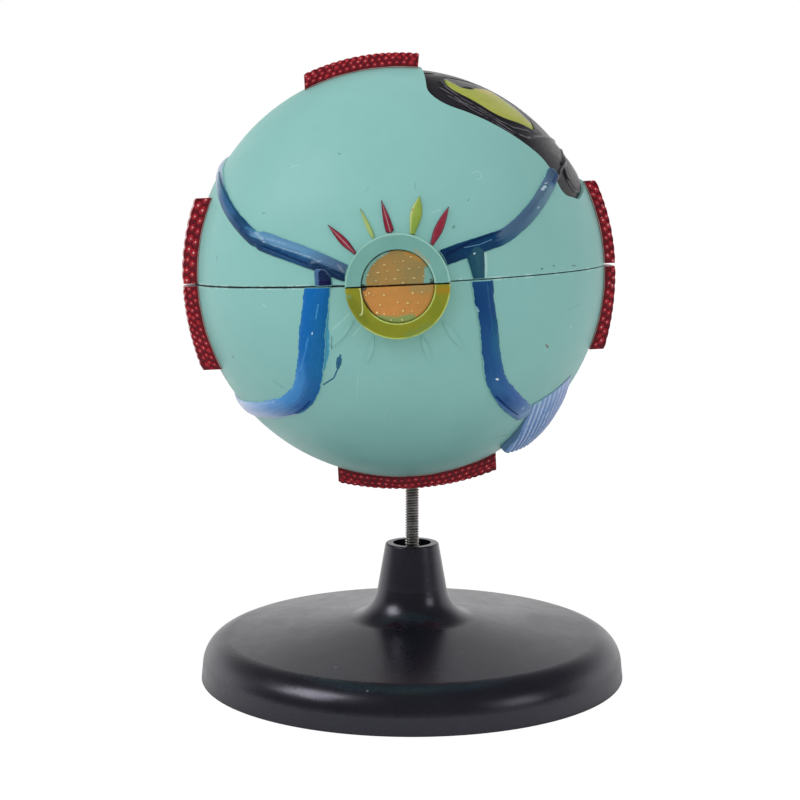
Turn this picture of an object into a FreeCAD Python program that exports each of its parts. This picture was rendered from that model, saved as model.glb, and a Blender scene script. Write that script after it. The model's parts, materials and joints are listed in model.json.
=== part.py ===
import FreeCAD, Part
import math
import os

from FreeCAD import Placement, Rotation, Vector

# Eye anatomy model, five times life size: a hollow plastic eyeball that parts
# along its horizontal meridian, on a threaded rod in a black moulded stand.
# Millimetres. Z is up, X is to the right when the eye is seen from behind,
# -Y is the back of the eye (the optic nerve), +Y the front (the cornea).
# The origin is on the stand's axis, in the plane that the stand rests on.

# ---------------------------------------------------------------- stand
foot_radius = 63.5            # outside of the foot ring, on the table
rim_radius = 62.3             # top of the nearly upright rim wall
rim_height = 11.6
shoulder_radius = 8.5         # rounding between rim wall and deck
deck_end_radius = 12.2        # where the sloping deck would meet the neck
deck_end_height = 17.8
flare_radius = 10.0           # hollow fillet between deck and neck
neck_root_radius = 10.3
neck_root_height = 26.3
stand_height = 39.6
stand_wall = 2.4
neck_wall = 2.25              # at the open top of the neck
web_low = 20.0                # the cross wall that carries the rod
web_thickness = 3.0
pocket_clearance = 2.6        # round the washer, under the web
neck_nut_clearance = 0.7      # round the lock nut, above the web
lip_radius = 0.6              # rounding round the mouth of the neck

# ---------------------------------------------------------------- rod and its nuts (No. 8-32)
rod_radius = 2.085
rod_hole_clearance = 0.25
rod_chamfer = 0.5
thread_clearance = 0.05
nut_across_flats = 8.7
nut_thickness = 3.3
nut_chamfer_angle = 30.0      # against the nut's faces
washer_radius = 4.75
washer_thickness = 0.9
rod_stub_below_nut = 2.4
insert_wall = 1.5
insert_recess = 0.4           # from the inferior pad's surface
insert_cover = 1.3            # of sclera left over the insert's blind end
rod_end_gap = 0.5             # between the rod's top and the end of its hole
rod_visible = 16.9            # between the neck and the inferior pad

# ---------------------------------------------------------------- eyeball
eye_radius = 60.0             # the outside of the sclera: a 24 mm eye, five times
eye_offset_x = -3.7           # the ball sits a little off the rod's axis,
eye_roll = 2.58               # and leans to its medial side by this many degrees
sclera_wall = 4.0
choroid_wall = 1.4
retina_wall = 1.2
seam_gap = 0.3                # open line between the upper and lower halves
bond_gap = 0.1                # glue line between pieces of one half
lift_gap = 0.4                # round the vitreous body, which lifts out
iris_setback = 4.3            # from the cornea's seat back to the choroid's front end
retina_setback = 16.2         # from the choroid's front end back to the retina's

# cornea and its seat in the front of the sclera
cornea_curve_radius = 39.0
cornea_wall = 1.5
cornea_seat_radius = 29.3
cornea_rim_width = 2.4
cornea_rim_thickness = 2.0

# iris, ciliary body, lens and vitreous body
iris_thickness = 1.4
pupil_radius = 9.0
pupil_edge_slope = 0.7        # the iris is this much thinner at the pupil
iris_crest_radius = 20.0      # where the iris is thickest
ciliary_inner_radius = 25.0
ciliary_tip_setback = 2.5     # from the choroid's front end
ciliary_tip_thickness = 3.0
ciliary_grooves = 20          # in each half
ciliary_groove_width = 1.1
ciliary_groove_depth = 3.0
lens_radius = 22.5
lens_setback = 6.8            # from the choroid's front end to the lens's widest plane
lens_edge = 2.4
lens_front_curve = 50.0
lens_back_curve = 30.0
vitreous_wall = 1.6
vitreous_joint_setback = 1.8  # from the retina's end to the joint of shell and front
lens_cup_setback = 1.0        # from the lens's widest plane to the rim of its cup
lens_cup_rim_width = 0.8

# locating pins in the seam
pin_radius = 1.0
pin_height = 4.0
pin_socket_clearance = 0.15
pin_socket_extra = 0.6
pin_chamfer = 0.35
pin_angles = (45.0, 135.0, 225.0, 315.0)

# ---------------------------------------------------------------- optic nerve
nerve_radius = 13.5
nerve_core_radius = 9.5
nerve_drop = 0.25             # its centre lies this far below the seam
nerve_length = 7.5            # how far its end stands behind the ball
nerve_core_recess = 0.6

# ---------------------------------------------------------------- muscle pads
rectus_width = 49.0
rectus_tendon_height = 1.2    # above the sclera, at the front end
rectus_front = 35.0           # +Y of the front end
rectus_corner = 9.0           # rounding of the front corners, seen square to the pad
pad_edge_radius = 0.6         # rounding of the other corners
superior_rear = -12.3         # +Y of each cut rear face
inferior_rear = -5.8
medial_rear = -18.5
lateral_rear = -8.5
superior_height = 4.2         # above the sclera, at each cut rear face
inferior_height = 4.1
medial_height = 4.2
lateral_height = 3.4
upper_pad_flatness = 0.0      # a pad curves about an axis this far beyond the eye's,
lower_pad_flatness = 14.0     # so that the ends of the lower half's pads stand higher
inferior_shift = 2.6          # the inferior pad is this far to the lateral side
inferior_width = 47.0

oblique_length = 29.0         # inferior oblique, along its ribs
oblique_width = 22.0
oblique_height = 3.6
oblique_fall_height = 3.5           # its upper end is this much lower than its lower end
oblique_centre = (72.0, -49.0)
oblique_turn = 48.0           # its ribs, against the meridian through its centre
oblique_ribs = 7
rib_groove_radius = 0.75
rib_groove_rise = 0.26        # its centre lies this far above the pad's surface

# ---------------------------------------------------------------- relief on the sclera
# Places on the ball are (off, around) in degrees: off is the angle from the
# rear pole, around is counted from +X towards +Z, as seen from behind.
vein_height = 1.3
vein_joint_extra = 0.05
vein_bend_points = {          # off, around and the vein's half width there
    "vortex_vein_upper_left": [
        [(104.0, 141.5, 1.5), (84.0, 146.0, 1.7), (70.9, 149.7, 1.9), (55.1, 155.9, 2.0),
         (42.8, 160.9, 2.1), (38.8, 161.0, 2.7), (22.6, 162.0, 2.7), (13.8, 165.9, 2.3)],
        [(20.0, 162.0, 2.4), (18.9, 180.0, 2.4)],
    ],
    "vortex_vein_lower_left": [
        [(20.5, 180.0, 3.6), (27.3, 211.3, 3.9), (34.0, 223.0, 3.9), (42.5, 228.0, 3.7),
         (50.0, 226.5, 3.4), (66.0, 220.6, 3.1), (98.0, 213.5, 3.1)],
    ],
    "vortex_vein_upper_right": [
        [(13.2, 27.0, 2.3), (20.0, 23.6, 2.3), (28.0, 21.0, 2.2), (31.4, 21.0, 2.1),
         (37.6, 23.1, 2.15), (44.8, 26.1, 2.2), (58.0, 31.3, 2.2)],
        [(20.9, 22.8, 2.2), (20.6, 0.0, 2.2)],
    ],
    "vortex_vein_lower_right": [
        [(21.6, 0.0, 2.65), (22.6, -13.6, 2.9), (26.8, -29.8, 2.7), (33.8, -43.6, 2.75),
         (38.2, -48.0, 2.8), (45.8, -50.5, 2.8), (56.5, -50.0, 2.8)],
    ],
}

leaf_height = 0.8
moulded_leaf_height = 0.25
moulded_leaf_root = 1.0       # sunk into the sclera this far, to fuse with it
artery_leaves = [             # base, tip, width
    ((13.4, 142.0), (23.4, 137.7), 1.8),
    ((13.2, 95.8), (21.3, 98.4), 2.0),
    ((13.2, 46.5), (23.4, 53.6), 2.6),
]
nerve_leaves = [
    ((13.4, 116.2), (21.5, 114.2), 1.4),
    ((13.2, 71.7), (22.5, 72.9), 3.1),
]
moulded_leaves = [            # left in the sclera's own colour, on the lower half
    ((14.4, 217.0), (24.5, 221.0), 1.8),
    ((14.4, 243.0), (22.5, 246.0), 1.6),
    ((14.4, 292.0), (22.5, 290.0), 1.6),
    ((14.4, 318.0), (24.5, 312.0), 1.8),
]

# ---------------------------------------------------------------- window in the upper lateral quarter
# Outlines are drawn on the plane that touches the sclera in the window's middle,
# and their walls point at the eye's centre. The first number runs round the eye
# away from the top, the second to the front, and the third rounds the corner.
window_around = 52.0
window_depth = 2.0
window_land = 1.5             # of sclera between the window and the superior rectus
window_outline = [
    (-36.5, 12.0, 14.0), (-29.3, -47.0, 10.0), (17.0, -36.6, 14.0), (31.5, -42.8, 4.0),
    (36.5, -31.5, 5.0), (29.5, 12.0, 11.0), (20.0, 40.0, 11.0), (-21.0, 46.0, 13.0),
]
choroid_step = 0.75           # the black layer lies this far below the sclera
retina_step = 1.35
retina_window_outline = [
    (-25.2, -16.5, 3.0), (-23.8, -29.4, 8.0), (-3.8, -33.0, 10.0), (8.3, -21.5, 3.0),
    (5.0, -13.0, 3.0), (-9.0, -4.5, 5.0),
]
cone_low = 0.5                # the walls of a window run between these shares of
cone_high = 1.6               # the sclera's radius

REAR = Vector(0, -1, 0)
FRONT = Vector(0, 1, 0)
UP = Vector(0, 0, 1)
ORIGIN = Vector(0, 0, 0)
FAR = 3.0 * eye_radius

nut_corner_radius = nut_across_flats / math.sqrt(3)
neck_bore_radius = nut_corner_radius + neck_nut_clearance
neck_top_radius = neck_bore_radius + neck_wall
nut_pocket_radius = washer_radius + pocket_clearance
insert_radius = rod_radius + insert_wall

eye_centre_height = stand_height + rod_visible + inferior_height + eye_radius
eye_centre = Vector(eye_offset_x, 0, eye_centre_height)
eye_placement = Placement(eye_centre, Rotation(Vector(0, 1, 0), -eye_roll))
sclera_inner = eye_radius - sclera_wall
choroid_outer = sclera_inner - bond_gap
choroid_inner = choroid_outer - choroid_wall
retina_outer = choroid_inner - bond_gap
retina_inner = retina_outer - retina_wall
vitreous_radius = retina_inner - lift_gap

# places along the eye's axis, +Y from the centre
cornea_seat_level = math.sqrt(eye_radius ** 2 - cornea_seat_radius ** 2) - cornea_rim_thickness - bond_gap
choroid_end = cornea_seat_level - iris_setback
retina_end = choroid_end - retina_setback
ciliary_tip_high = choroid_end - ciliary_tip_setback
ciliary_tip_low = ciliary_tip_high - ciliary_tip_thickness
lens_equator = choroid_end - lens_setback
lens_cup_rim = lens_equator - lens_cup_setback
vitreous_joint = retina_end - vitreous_joint_setback
nerve_end = eye_radius + nerve_length


# ================================================================ helpers
def ball(radius, centre=ORIGIN):
    return Part.makeSphere(radius, centre)


def shell(outer, inner):
    return ball(outer).cut(ball(inner))


def rod_along(radius, start, end):
    axis = end - start
    return Part.makeCylinder(radius, axis.Length, start, axis)


def upper_space():
    corner = Vector(-FAR, -FAR, seam_gap / 2)
    return Part.makeBox(2 * FAR, 2 * FAR, FAR, corner)


def lower_space():
    corner = Vector(-FAR, -FAR, -FAR - seam_gap / 2)
    return Part.makeBox(2 * FAR, 2 * FAR, FAR, corner)


def behind(y):
    """Everything on the rear side of a plane across the eye's axis."""
    return Part.makeBox(2 * FAR, FAR, 2 * FAR, Vector(-FAR, y - FAR, -FAR))


def ahead_of(y):
    return Part.makeBox(2 * FAR, FAR, 2 * FAR, Vector(-FAR, y, -FAR))


def revolve_about_y(points):
    """Turn a closed profile of (radius, y) points and arcs about the eye's axis.

    An entry of the form ("arc", radius, y) is the middle point of an arc that
    joins the points before and after it.
    """
    edges = []
    here = Vector(points[0][0], points[0][1], 0)
    pending = None
    for entry in points[1:] + points[:1]:
        if entry[0] == "arc":
            pending = Vector(entry[1], entry[2], 0)
            continue
        there = Vector(entry[0], entry[1], 0)
        if pending is None:
            edges.append(Part.LineSegment(here, there).toShape())
        else:
            edges.append(Part.Arc(here, pending, there).toShape())
        here = there
        pending = None
    face = Part.Face(Part.Wire(edges))
    return face.revolve(ORIGIN, FRONT, 360)


def on_sphere(radius, y):
    """Distance from the eye's axis of a sphere's surface at a height along it."""
    return math.sqrt(radius * radius - y * y)


def direction(off, around):
    off = math.radians(off)
    around = math.radians(around)
    side = math.sin(off)
    return Vector(side * math.cos(around), -math.cos(off), side * math.sin(around))


def rounded_face(corners):
    """Flat face in XY whose corners (x, y, radius) are rounded."""
    edges = []
    count = len(corners)
    first = None
    last = None
    for i in range(count):
        before = Vector(*corners[i - 1][:2], 0)
        here = Vector(*corners[i][:2], 0)
        after = Vector(*corners[(i + 1) % count][:2], 0)
        to_before = (before - here).normalize()
        to_after = (after - here).normalize()
        half = to_before.getAngle(to_after) / 2
        reach = corners[i][2] / math.tan(half)
        middle = (to_before + to_after).normalize()
        centre = here + middle * (corners[i][2] / math.sin(half))
        start = here + to_before * reach
        end = here + to_after * reach
        if last is not None:
            edges.append(Part.LineSegment(last, start).toShape())
        else:
            first = start
        edges.append(Part.Arc(start, centre - middle * corners[i][2], end).toShape())
        last = end
    edges.append(Part.LineSegment(last, first).toShape())
    return Part.Face(Part.Wire(edges))


def one_solid(shape):
    """The largest solid of a result that should hold only one."""
    return max(shape.Solids, key=lambda solid: solid.Volume)


def placed(shape):
    result = shape.copy()
    result.Placement = eye_placement.multiply(result.Placement)
    return result


# ================================================================ stand
def turned(points):
    """Turn a closed outline in the XZ plane about the stand's axis."""
    return Part.Face(Part.makePolygon(points + points[:1])).revolve(ORIGIN, UP, 360)


def rings_at(solid, corner):
    """The circular edges that a corner of a turned outline makes."""
    return [e for e in solid.Edges if e.Curve.TypeId == "Part::GeomCircle"
            and abs(e.Curve.Radius - corner.x) < 0.01 and abs(e.Curve.Center.z - corner.z) < 0.01]


def crossing(start, end, level):
    """The point of a line in the XZ plane that lies at a height."""
    return start + (end - start) * ((level - start.z) / (end.z - start.z))


def stand_base():
    """Hollow moulding: rim, sloping deck and neck, with a web inside the neck."""
    foot = Vector(foot_radius, 0, 0)
    rim = Vector(rim_radius, 0, rim_height)
    deck_end = Vector(deck_end_radius, 0, deck_end_height)
    neck_root = Vector(neck_root_radius, 0, neck_root_height)
    neck_top = Vector(neck_top_radius, 0, stand_height)
    solid = turned([ORIGIN, foot, rim, deck_end, neck_root, neck_top, Vector(0, 0, stand_height)])
    solid = solid.makeFillet(shoulder_radius, rings_at(solid, rim))
    solid = solid.makeFillet(flare_radius, rings_at(solid, deck_end))
    solid = solid.makeFillet(lip_radius, rings_at(solid, neck_top))

    # the hollow under the deck keeps the wall's thickness all the way
    up_rim = (rim - foot).normalize()
    up_deck = (deck_end - rim).normalize()
    into_rim = Vector(-up_rim.z, 0, up_rim.x) * stand_wall
    into_deck = Vector(-up_deck.z, 0, up_deck.x) * stand_wall
    inner_foot = crossing(foot + into_rim, rim + into_rim, 0)
    between = (up_deck - up_rim).normalize()
    inner_rim = rim + between * (stand_wall / math.sin(between.getAngle(up_deck)))
    deck_share = (rim_radius - nut_pocket_radius) / (rim_radius - deck_end_radius)
    inner_deck = rim + (deck_end - rim) * deck_share + into_deck
    inner_deck.x = nut_pocket_radius
    below = Vector(0, 0, -1)
    hollow = turned([below, inner_foot + below, inner_foot, inner_rim, inner_deck,
                     Vector(nut_pocket_radius, 0, web_low), Vector(0, 0, web_low)])
    inner_shoulder = max(shoulder_radius - stand_wall, 0.2 * shoulder_radius)
    hollow = hollow.makeFillet(inner_shoulder, rings_at(hollow, inner_rim))
    solid = solid.cut(hollow)
    bore_low = web_low + web_thickness
    solid = solid.cut(rod_along(neck_bore_radius, Vector(0, 0, bore_low), Vector(0, 0, stand_height + 1)))
    hole_radius = rod_radius + rod_hole_clearance
    solid = solid.cut(rod_along(hole_radius, Vector(0, 0, web_low - 1), Vector(0, 0, bore_low + 1)))
    return solid


def hex_nut(low):
    corner = nut_corner_radius
    points = [Vector(corner * math.cos(math.radians(a)), corner * math.sin(math.radians(a)), low)
              for a in range(0, 360, 60)]
    nut = Part.Face(Part.makePolygon(points + points[:1])).extrude(UP * nut_thickness)
    flat = nut_across_flats / 2
    top = low + nut_thickness
    spread = nut_thickness / math.tan(math.radians(nut_chamfer_angle))
    for level, away in ((low, 1), (top, -1)):
        nut = nut.common(Part.makeCone(flat, flat + spread, nut_thickness, Vector(0, 0, level), UP * away))
    bore = rod_radius + thread_clearance
    return nut.cut(rod_along(bore, Vector(0, 0, low - 1), Vector(0, 0, top + 1)))


def washer():
    top = Vector(0, 0, web_low)
    low = Vector(0, 0, web_low - washer_thickness)
    disc = rod_along(washer_radius, low, top)
    return disc.cut(rod_along(rod_radius + rod_hole_clearance, low - UP, top + UP))


def insert_span():
    """Lowest and highest Z of the threaded insert, on the rod's axis."""
    pad_radius, pad_back = rectus_profile(inferior_rear, inferior_height)
    curve = on_sphere(pad_radius, pad_back) + lower_pad_flatness
    low = eye_centre_height - on_sphere(curve, eye_offset_x) + lower_pad_flatness + insert_recess
    reach = (sclera_inner + insert_cover) ** 2 - (abs(eye_offset_x) + insert_radius) ** 2
    return low, eye_centre_height - math.sqrt(reach)


def threaded_rod():
    low = web_low - washer_thickness - nut_thickness - rod_stub_below_nut
    high = insert_span()[1] - rod_end_gap
    rod = rod_along(rod_radius, Vector(0, 0, low), Vector(0, 0, high))
    return rod.makeChamfer(rod_chamfer, [e for e in rod.Edges if e.Curve.TypeId == "Part::GeomCircle"])


def threaded_insert():
    low, high = insert_span()
    body = rod_along(insert_radius - bond_gap / 2, Vector(0, 0, low), Vector(0, 0, high))
    return body.cut(rod_along(rod_radius + thread_clearance, Vector(0, 0, low - 1), Vector(0, 0, high + 1)))


def insert_hole():
    """Hole for the insert, along the rod, in the eye's own frame."""
    low, high = insert_span()
    hole = rod_along(insert_radius, Vector(0, 0, low - inferior_height), Vector(0, 0, high))
    hole.Placement = eye_placement.inverse()
    return hole


# ================================================================ the eye's layers
def window_tool(outline, inner, outer, margin=0.0):
    """The part of a spherical layer that lies under a window's outline, less a margin."""
    face = rounded_face(outline)
    if margin:
        face = face.makeOffset2D(-margin)
    wires = []
    for share in (cone_low, cone_high):
        wire = face.OuterWire.scaled(share)
        wire.translate(UP * eye_radius * share)
        wires.append(wire)
    cone = Part.makeLoft(wires, True, True)
    outward = direction(90.0, window_around)
    across = direction(90.0, window_around - 90.0)
    turn = Rotation(across, FRONT, outward, "ZXY")
    cone.Placement = Placement(ORIGIN, turn)
    return cone.common(shell(outer, inner))


def leaf(base, tip, width, low, high):
    """Pointed leaf on the ball, from its base by the optic nerve to its tip."""
    start = direction(*base)
    end = direction(*tip)
    normal = (start + end).normalize()
    along = (end - start).normalize()
    side = normal.cross(along)
    half = (end - start).Length * eye_radius / 2
    bulge = width / 2
    depth = 10 * leaf_height
    centre = normal * (eye_radius - depth / 2)
    a = centre - along * half
    b = centre + along * half
    wire = Part.Wire([Part.Arc(a, centre + side * bulge, b).toShape(),
                      Part.Arc(b, centre - side * bulge, a).toShape()])
    return Part.Face(wire).extrude(normal * depth).common(shell(high, low))


def sclera(space, is_upper):
    body = shell(eye_radius, sclera_inner).common(space)
    seat = rod_along(cornea_seat_radius, FRONT * cornea_seat_level, FRONT * FAR)
    opening = rod_along(cornea_seat_radius - cornea_rim_width, ORIGIN, FRONT * FAR)
    body = body.cut(seat).cut(opening)
    for angle in pin_angles:
        pin_centre = pin_place(angle)
        socket_radius = pin_radius + pin_socket_clearance
        if is_upper:
            top = pin_centre + UP * (pin_height + pin_socket_extra)
            body = body.cut(rod_along(socket_radius, pin_centre - UP, top))
        else:
            low = pin_centre - UP * (pin_height + bond_gap)
            body = body.cut(rod_along(pin_radius + bond_gap / 2, low, pin_centre + UP))
    return body


def pin_place(angle):
    middle = (eye_radius + sclera_inner) / 2
    return Vector(middle * math.cos(math.radians(angle)), middle * math.sin(math.radians(angle)), 0)


def locating_pins():
    pins = []
    for angle in pin_angles:
        centre = pin_place(angle)
        pin = rod_along(pin_radius, centre - UP * pin_height, centre + UP * pin_height)
        top = [e for e in pin.Edges if e.BoundBox.ZMin > pin_height - 0.01]
        pins.append(pin.makeChamfer(pin_chamfer, top))
    return Part.makeCompound(pins)


def sclera_upper():
    body = sclera(upper_space(), True)
    floor = eye_radius - window_depth
    return one_solid(body.cut(window_tool(window_outline, floor, eye_radius + 1)))


def sclera_lower():
    body = sclera(lower_space(), False).cut(insert_hole())
    for base, tip, width in moulded_leaves:
        low = eye_radius - moulded_leaf_root
        body = body.fuse(leaf(base, tip, width, low, eye_radius + moulded_leaf_height))
    return one_solid(body)


def choroid(space):
    layer = shell(choroid_outer, choroid_inner).common(behind(choroid_end))
    return one_solid(layer.common(space))


def retina(space):
    layer = shell(retina_outer, retina_inner).common(behind(retina_end))
    return one_solid(layer.common(space))


def choroid_window():
    low = eye_radius - window_depth + bond_gap
    layer = window_tool(window_outline, low, eye_radius - choroid_step, bond_gap)
    hole = window_tool(retina_window_outline, sclera_inner, eye_radius)
    return one_solid(layer.cut(hole))


def retina_window():
    low = eye_radius - window_depth + bond_gap
    return one_solid(window_tool(retina_window_outline, low, eye_radius - retina_step, bond_gap))


def cornea(space):
    rim_outer = cornea_seat_radius - bond_gap
    low = cornea_seat_level + bond_gap
    high = low + cornea_rim_thickness
    centre_y = high - math.sqrt(cornea_curve_radius ** 2 - rim_outer ** 2)
    centre = FRONT * centre_y
    dome = ball(cornea_curve_radius, centre).cut(ball(cornea_curve_radius - cornea_wall, centre))
    dome = dome.common(ahead_of(high))
    rim = rod_along(rim_outer, FRONT * low, FRONT * high)
    rim = rim.cut(rod_along(rim_outer - cornea_rim_width + bond_gap, FRONT * (low - 1), FRONT * (high + 1)))
    return one_solid(dome.fuse(rim).common(space))


def iris(space):
    low = choroid_end + bond_gap
    high = low + iris_thickness
    outer = on_sphere(sclera_inner - bond_gap, high)
    edge = high - pupil_edge_slope
    ring = revolve_about_y([(pupil_radius, low), (outer, low), (outer, high),
                            (iris_crest_radius, high), (pupil_radius, edge)])
    return one_solid(ring.common(space))


def ciliary_body(space, first_angle):
    """Wedge ring inside the choroid, grooved into processes round its inner edge."""
    reach = retina_outer
    low = retina_end + bond_gap
    high = choroid_end - bond_gap
    middle = (low + high) / 2
    ring = revolve_about_y([
        (on_sphere(reach, low), low), ("arc", on_sphere(reach, middle), middle),
        (on_sphere(reach, high), high), (ciliary_inner_radius, ciliary_tip_high),
        (ciliary_inner_radius, ciliary_tip_low),
    ])
    ring = ring.common(space)
    step = 180.0 / ciliary_grooves
    depth = ciliary_groove_depth
    grooves = []
    for i in range(ciliary_grooves):
        around = math.radians(first_angle + (i + 0.5) * step)
        outward = Vector(math.cos(around), 0, math.sin(around))
        side = Vector(-math.sin(around), 0, math.cos(around)) * (ciliary_groove_width / 2)
        inner = outward * (ciliary_inner_radius - 1)
        corners = [
            inner + FRONT * (ciliary_tip_high + 2) - side,
            outward * (ciliary_inner_radius + depth) + FRONT * (ciliary_tip_high + 2) - side,
            outward * (ciliary_inner_radius + 2 * depth) + FRONT * (ciliary_tip_low - depth) - side,
            inner + FRONT * (ciliary_tip_low - depth) - side,
        ]
        blade = Part.Face(Part.makePolygon(corners + corners[:1])).extrude(side * 2)
        grooves.append(blade)
    return one_solid(ring.cut(grooves))


# ================================================================ lens and vitreous body
def lens():
    front_centre = lens_equator + lens_edge / 2 - math.sqrt(lens_front_curve ** 2 - lens_radius ** 2)
    back_centre = lens_equator - lens_edge / 2 + math.sqrt(lens_back_curve ** 2 - lens_radius ** 2)
    body = rod_along(lens_radius, FRONT * (lens_equator - lens_radius), FRONT * (lens_equator + lens_radius))
    body = body.common(ball(lens_front_curve, FRONT * front_centre))
    return one_solid(body.common(ball(lens_back_curve, FRONT * back_centre)))


def lens_cup_profile():
    """Radius and centre of the hollow that the back of the lens rests in."""
    back_centre = lens_equator - lens_edge / 2 + math.sqrt(lens_back_curve ** 2 - lens_radius ** 2)
    return lens_back_curve + lift_gap, back_centre


def vitreous_shell():
    body = shell(vitreous_radius, vitreous_radius - vitreous_wall)
    return one_solid(body.common(behind(vitreous_joint)))


def vitreous_front():
    """Front wall of the vitreous body: a cone that sinks into the lens cup."""
    cup_radius, cup_centre = lens_cup_profile()
    mouth = math.sqrt(cup_radius ** 2 - (cup_centre - lens_cup_rim) ** 2)
    low = vitreous_joint + bond_gap
    high = low + vitreous_wall
    edge = on_sphere(vitreous_radius, low)
    inner_radius = cup_radius + vitreous_wall
    under = lens_cup_rim - vitreous_wall
    inner_mouth = math.sqrt(inner_radius ** 2 - (cup_centre - under) ** 2)

    def cup_point(radius, share, rim):
        angle = math.asin(rim / radius) * share
        return radius * math.sin(angle), cup_centre - radius * math.cos(angle)

    return revolve_about_y([
        (edge - 2 * vitreous_wall, low), (edge, low), (on_sphere(vitreous_radius, high), high),
        (mouth + lens_cup_rim_width, lens_cup_rim), (mouth, lens_cup_rim),
        ("arc",) + cup_point(cup_radius, 0.5, mouth), (0, cup_centre - cup_radius),
        (0, cup_centre - inner_radius),
        ("arc",) + cup_point(inner_radius, 0.5, inner_mouth), (inner_mouth, under),
    ])


# ================================================================ optic nerve
def nerve_half(outer, inner, end, space):
    centre = UP * -nerve_drop
    stub = rod_along(outer, centre, centre + REAR * end)
    if inner > 0:
        stub = stub.cut(rod_along(inner, centre, centre + REAR * (end + 1)))
    stub = stub.cut(ball(eye_radius + bond_gap))
    return one_solid(stub.common(space))


def nerve_sheath(space):
    return nerve_half(nerve_radius, nerve_core_radius, nerve_end, space)


def nerve_core(space):
    return nerve_half(nerve_core_radius - bond_gap / 2, 0, nerve_end - nerve_core_recess, space)


# ================================================================ muscles
def rectus_profile(rear, height):
    """Radius of a pad's outer curve along the eye, and how far its centre is moved back.

    The curve passes through the pad's height at the cut rear face and through
    its lower height at the tendon end.
    """
    thick = on_sphere(eye_radius + height, rear)
    thin = on_sphere(eye_radius, rectus_front) + rectus_tendon_height
    back = (thin ** 2 + rectus_front ** 2 - thick ** 2 - rear ** 2) / (2 * (rear - rectus_front))
    return math.sqrt(thick ** 2 + (rear + back) ** 2), back


def rectus_outer(rear, height, flatness):
    """Ring whose outside is a pad's outer face, bulging towards +X."""
    radius, back = rectus_profile(rear, height)
    inner = eye_radius / 2
    low = rear - 1
    high = rectus_front + 1
    middle = (low + high) / 2
    ring = revolve_about_y([(flatness + x, y) for x, y in ((inner, low), (on_sphere(radius, low + back), low))]
                           + [("arc", flatness + on_sphere(radius, middle + back), middle)]
                           + [(flatness + x, y) for x, y in ((on_sphere(radius, high + back), high), (inner, high))])
    ring.translate(Vector(-flatness, 0, 0))
    return ring


def rectus(around, rear, height, flatness, width, shift=0.0):
    """Pad over the equator: thick at its cut rear face, thin at its tendon end."""
    outer = rectus_outer(rear, height, flatness)
    outer.rotate(ORIGIN, FRONT, -around)
    half = width / 2
    plan = rounded_face([
        (-half, rear, pad_edge_radius), (half, rear, pad_edge_radius),
        (half, rectus_front, rectus_corner), (-half, rectus_front, rectus_corner),
    ])
    block = plan.extrude(UP * FAR)
    block.translate(Vector(shift, 0, 0))
    block.rotate(ORIGIN, FRONT, 90.0 - around)
    return block.common(outer).cut(ball(eye_radius + bond_gap))


def superior_rectus():
    pad = rectus(90.0, superior_rear, superior_height, upper_pad_flatness, rectus_width)
    return one_solid(pad.cut(window_tool(window_outline, sclera_inner, FAR / 2, -window_land)))


def inferior_rectus():
    pad = rectus(-90.0, inferior_rear, inferior_height, lower_pad_flatness, inferior_width, -inferior_shift)
    return one_solid(pad.cut(insert_hole()))


def medial_rectus(flatness, space):
    return one_solid(rectus(180.0, medial_rear, medial_height, flatness, rectus_width).common(space))


def lateral_rectus(flatness, space):
    return one_solid(rectus(0.0, lateral_rear, lateral_height, flatness, rectus_width).common(space))


def oblique_frame():
    """The oblique's own axes: X along its ribs, Y across them, Z out of the ball."""
    outward = direction(*oblique_centre)
    to_pole = (REAR - outward * outward.dot(REAR)).normalize()
    across = Rotation(outward, oblique_turn).multVec(to_pole)
    return Placement(ORIGIN, Rotation(outward.cross(across), across, outward, "ZXY"))


def oblique_block(margin=0.0):
    half_length = oblique_length / 2 + margin
    half_width = oblique_width / 2 + margin
    plan = rounded_face([(x, y, pad_edge_radius) for x, y in (
        (-half_length, -half_width), (half_length, -half_width),
        (half_length, half_width), (-half_length, half_width))])
    return plan.extrude(UP * FAR)


def inferior_oblique():
    """Ribbed pad: high at its lower end, running out into the ball at the other."""
    # the outer ball is moved sideways, so that the pad thins towards one end
    radius = eye_radius + oblique_height - oblique_fall_height / 2
    slide = oblique_fall_height * radius / oblique_length
    centre = Vector(slide, 0, 0)
    outer_radius = math.sqrt(radius ** 2 + slide ** 2)
    body = oblique_block().common(ball(outer_radius, centre))
    pitch = oblique_width / oblique_ribs
    grooves = []
    for i in range(1, oblique_ribs):
        level = -oblique_width / 2 + i * pitch
        ring = math.sqrt(outer_radius ** 2 - level ** 2)
        groove = Part.makeTorus(ring + rib_groove_rise, rib_groove_radius,
                                centre + Vector(0, level, 0), Vector(0, 1, 0))
        grooves.append(groove)
    body = body.cut(grooves)
    body.Placement = oblique_frame()
    return one_solid(body.cut(ball(eye_radius + bond_gap)))


# ================================================================ vortex veins
def vein_section(half_width):
    """Radius of a vein's round section, and how far its centre lies from the eye's."""
    radius = (half_width ** 2 + vein_height ** 2) / (2 * vein_height)
    return radius, eye_radius + vein_height - radius


def vein_run(start, end, half_width):
    """One great-circle run of a vein, as part of a torus."""
    radius, major = vein_section(half_width)
    a = direction(*start[:2])
    b = direction(*end[:2])
    axis = a.cross(b).normalize()
    sweep = math.degrees(a.getAngle(b))
    section = Part.Circle(a * major, a.cross(axis), radius).toShape()
    face = Part.Face(Part.Wire(section))
    return face.revolve(ORIGIN, axis, sweep)


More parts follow.
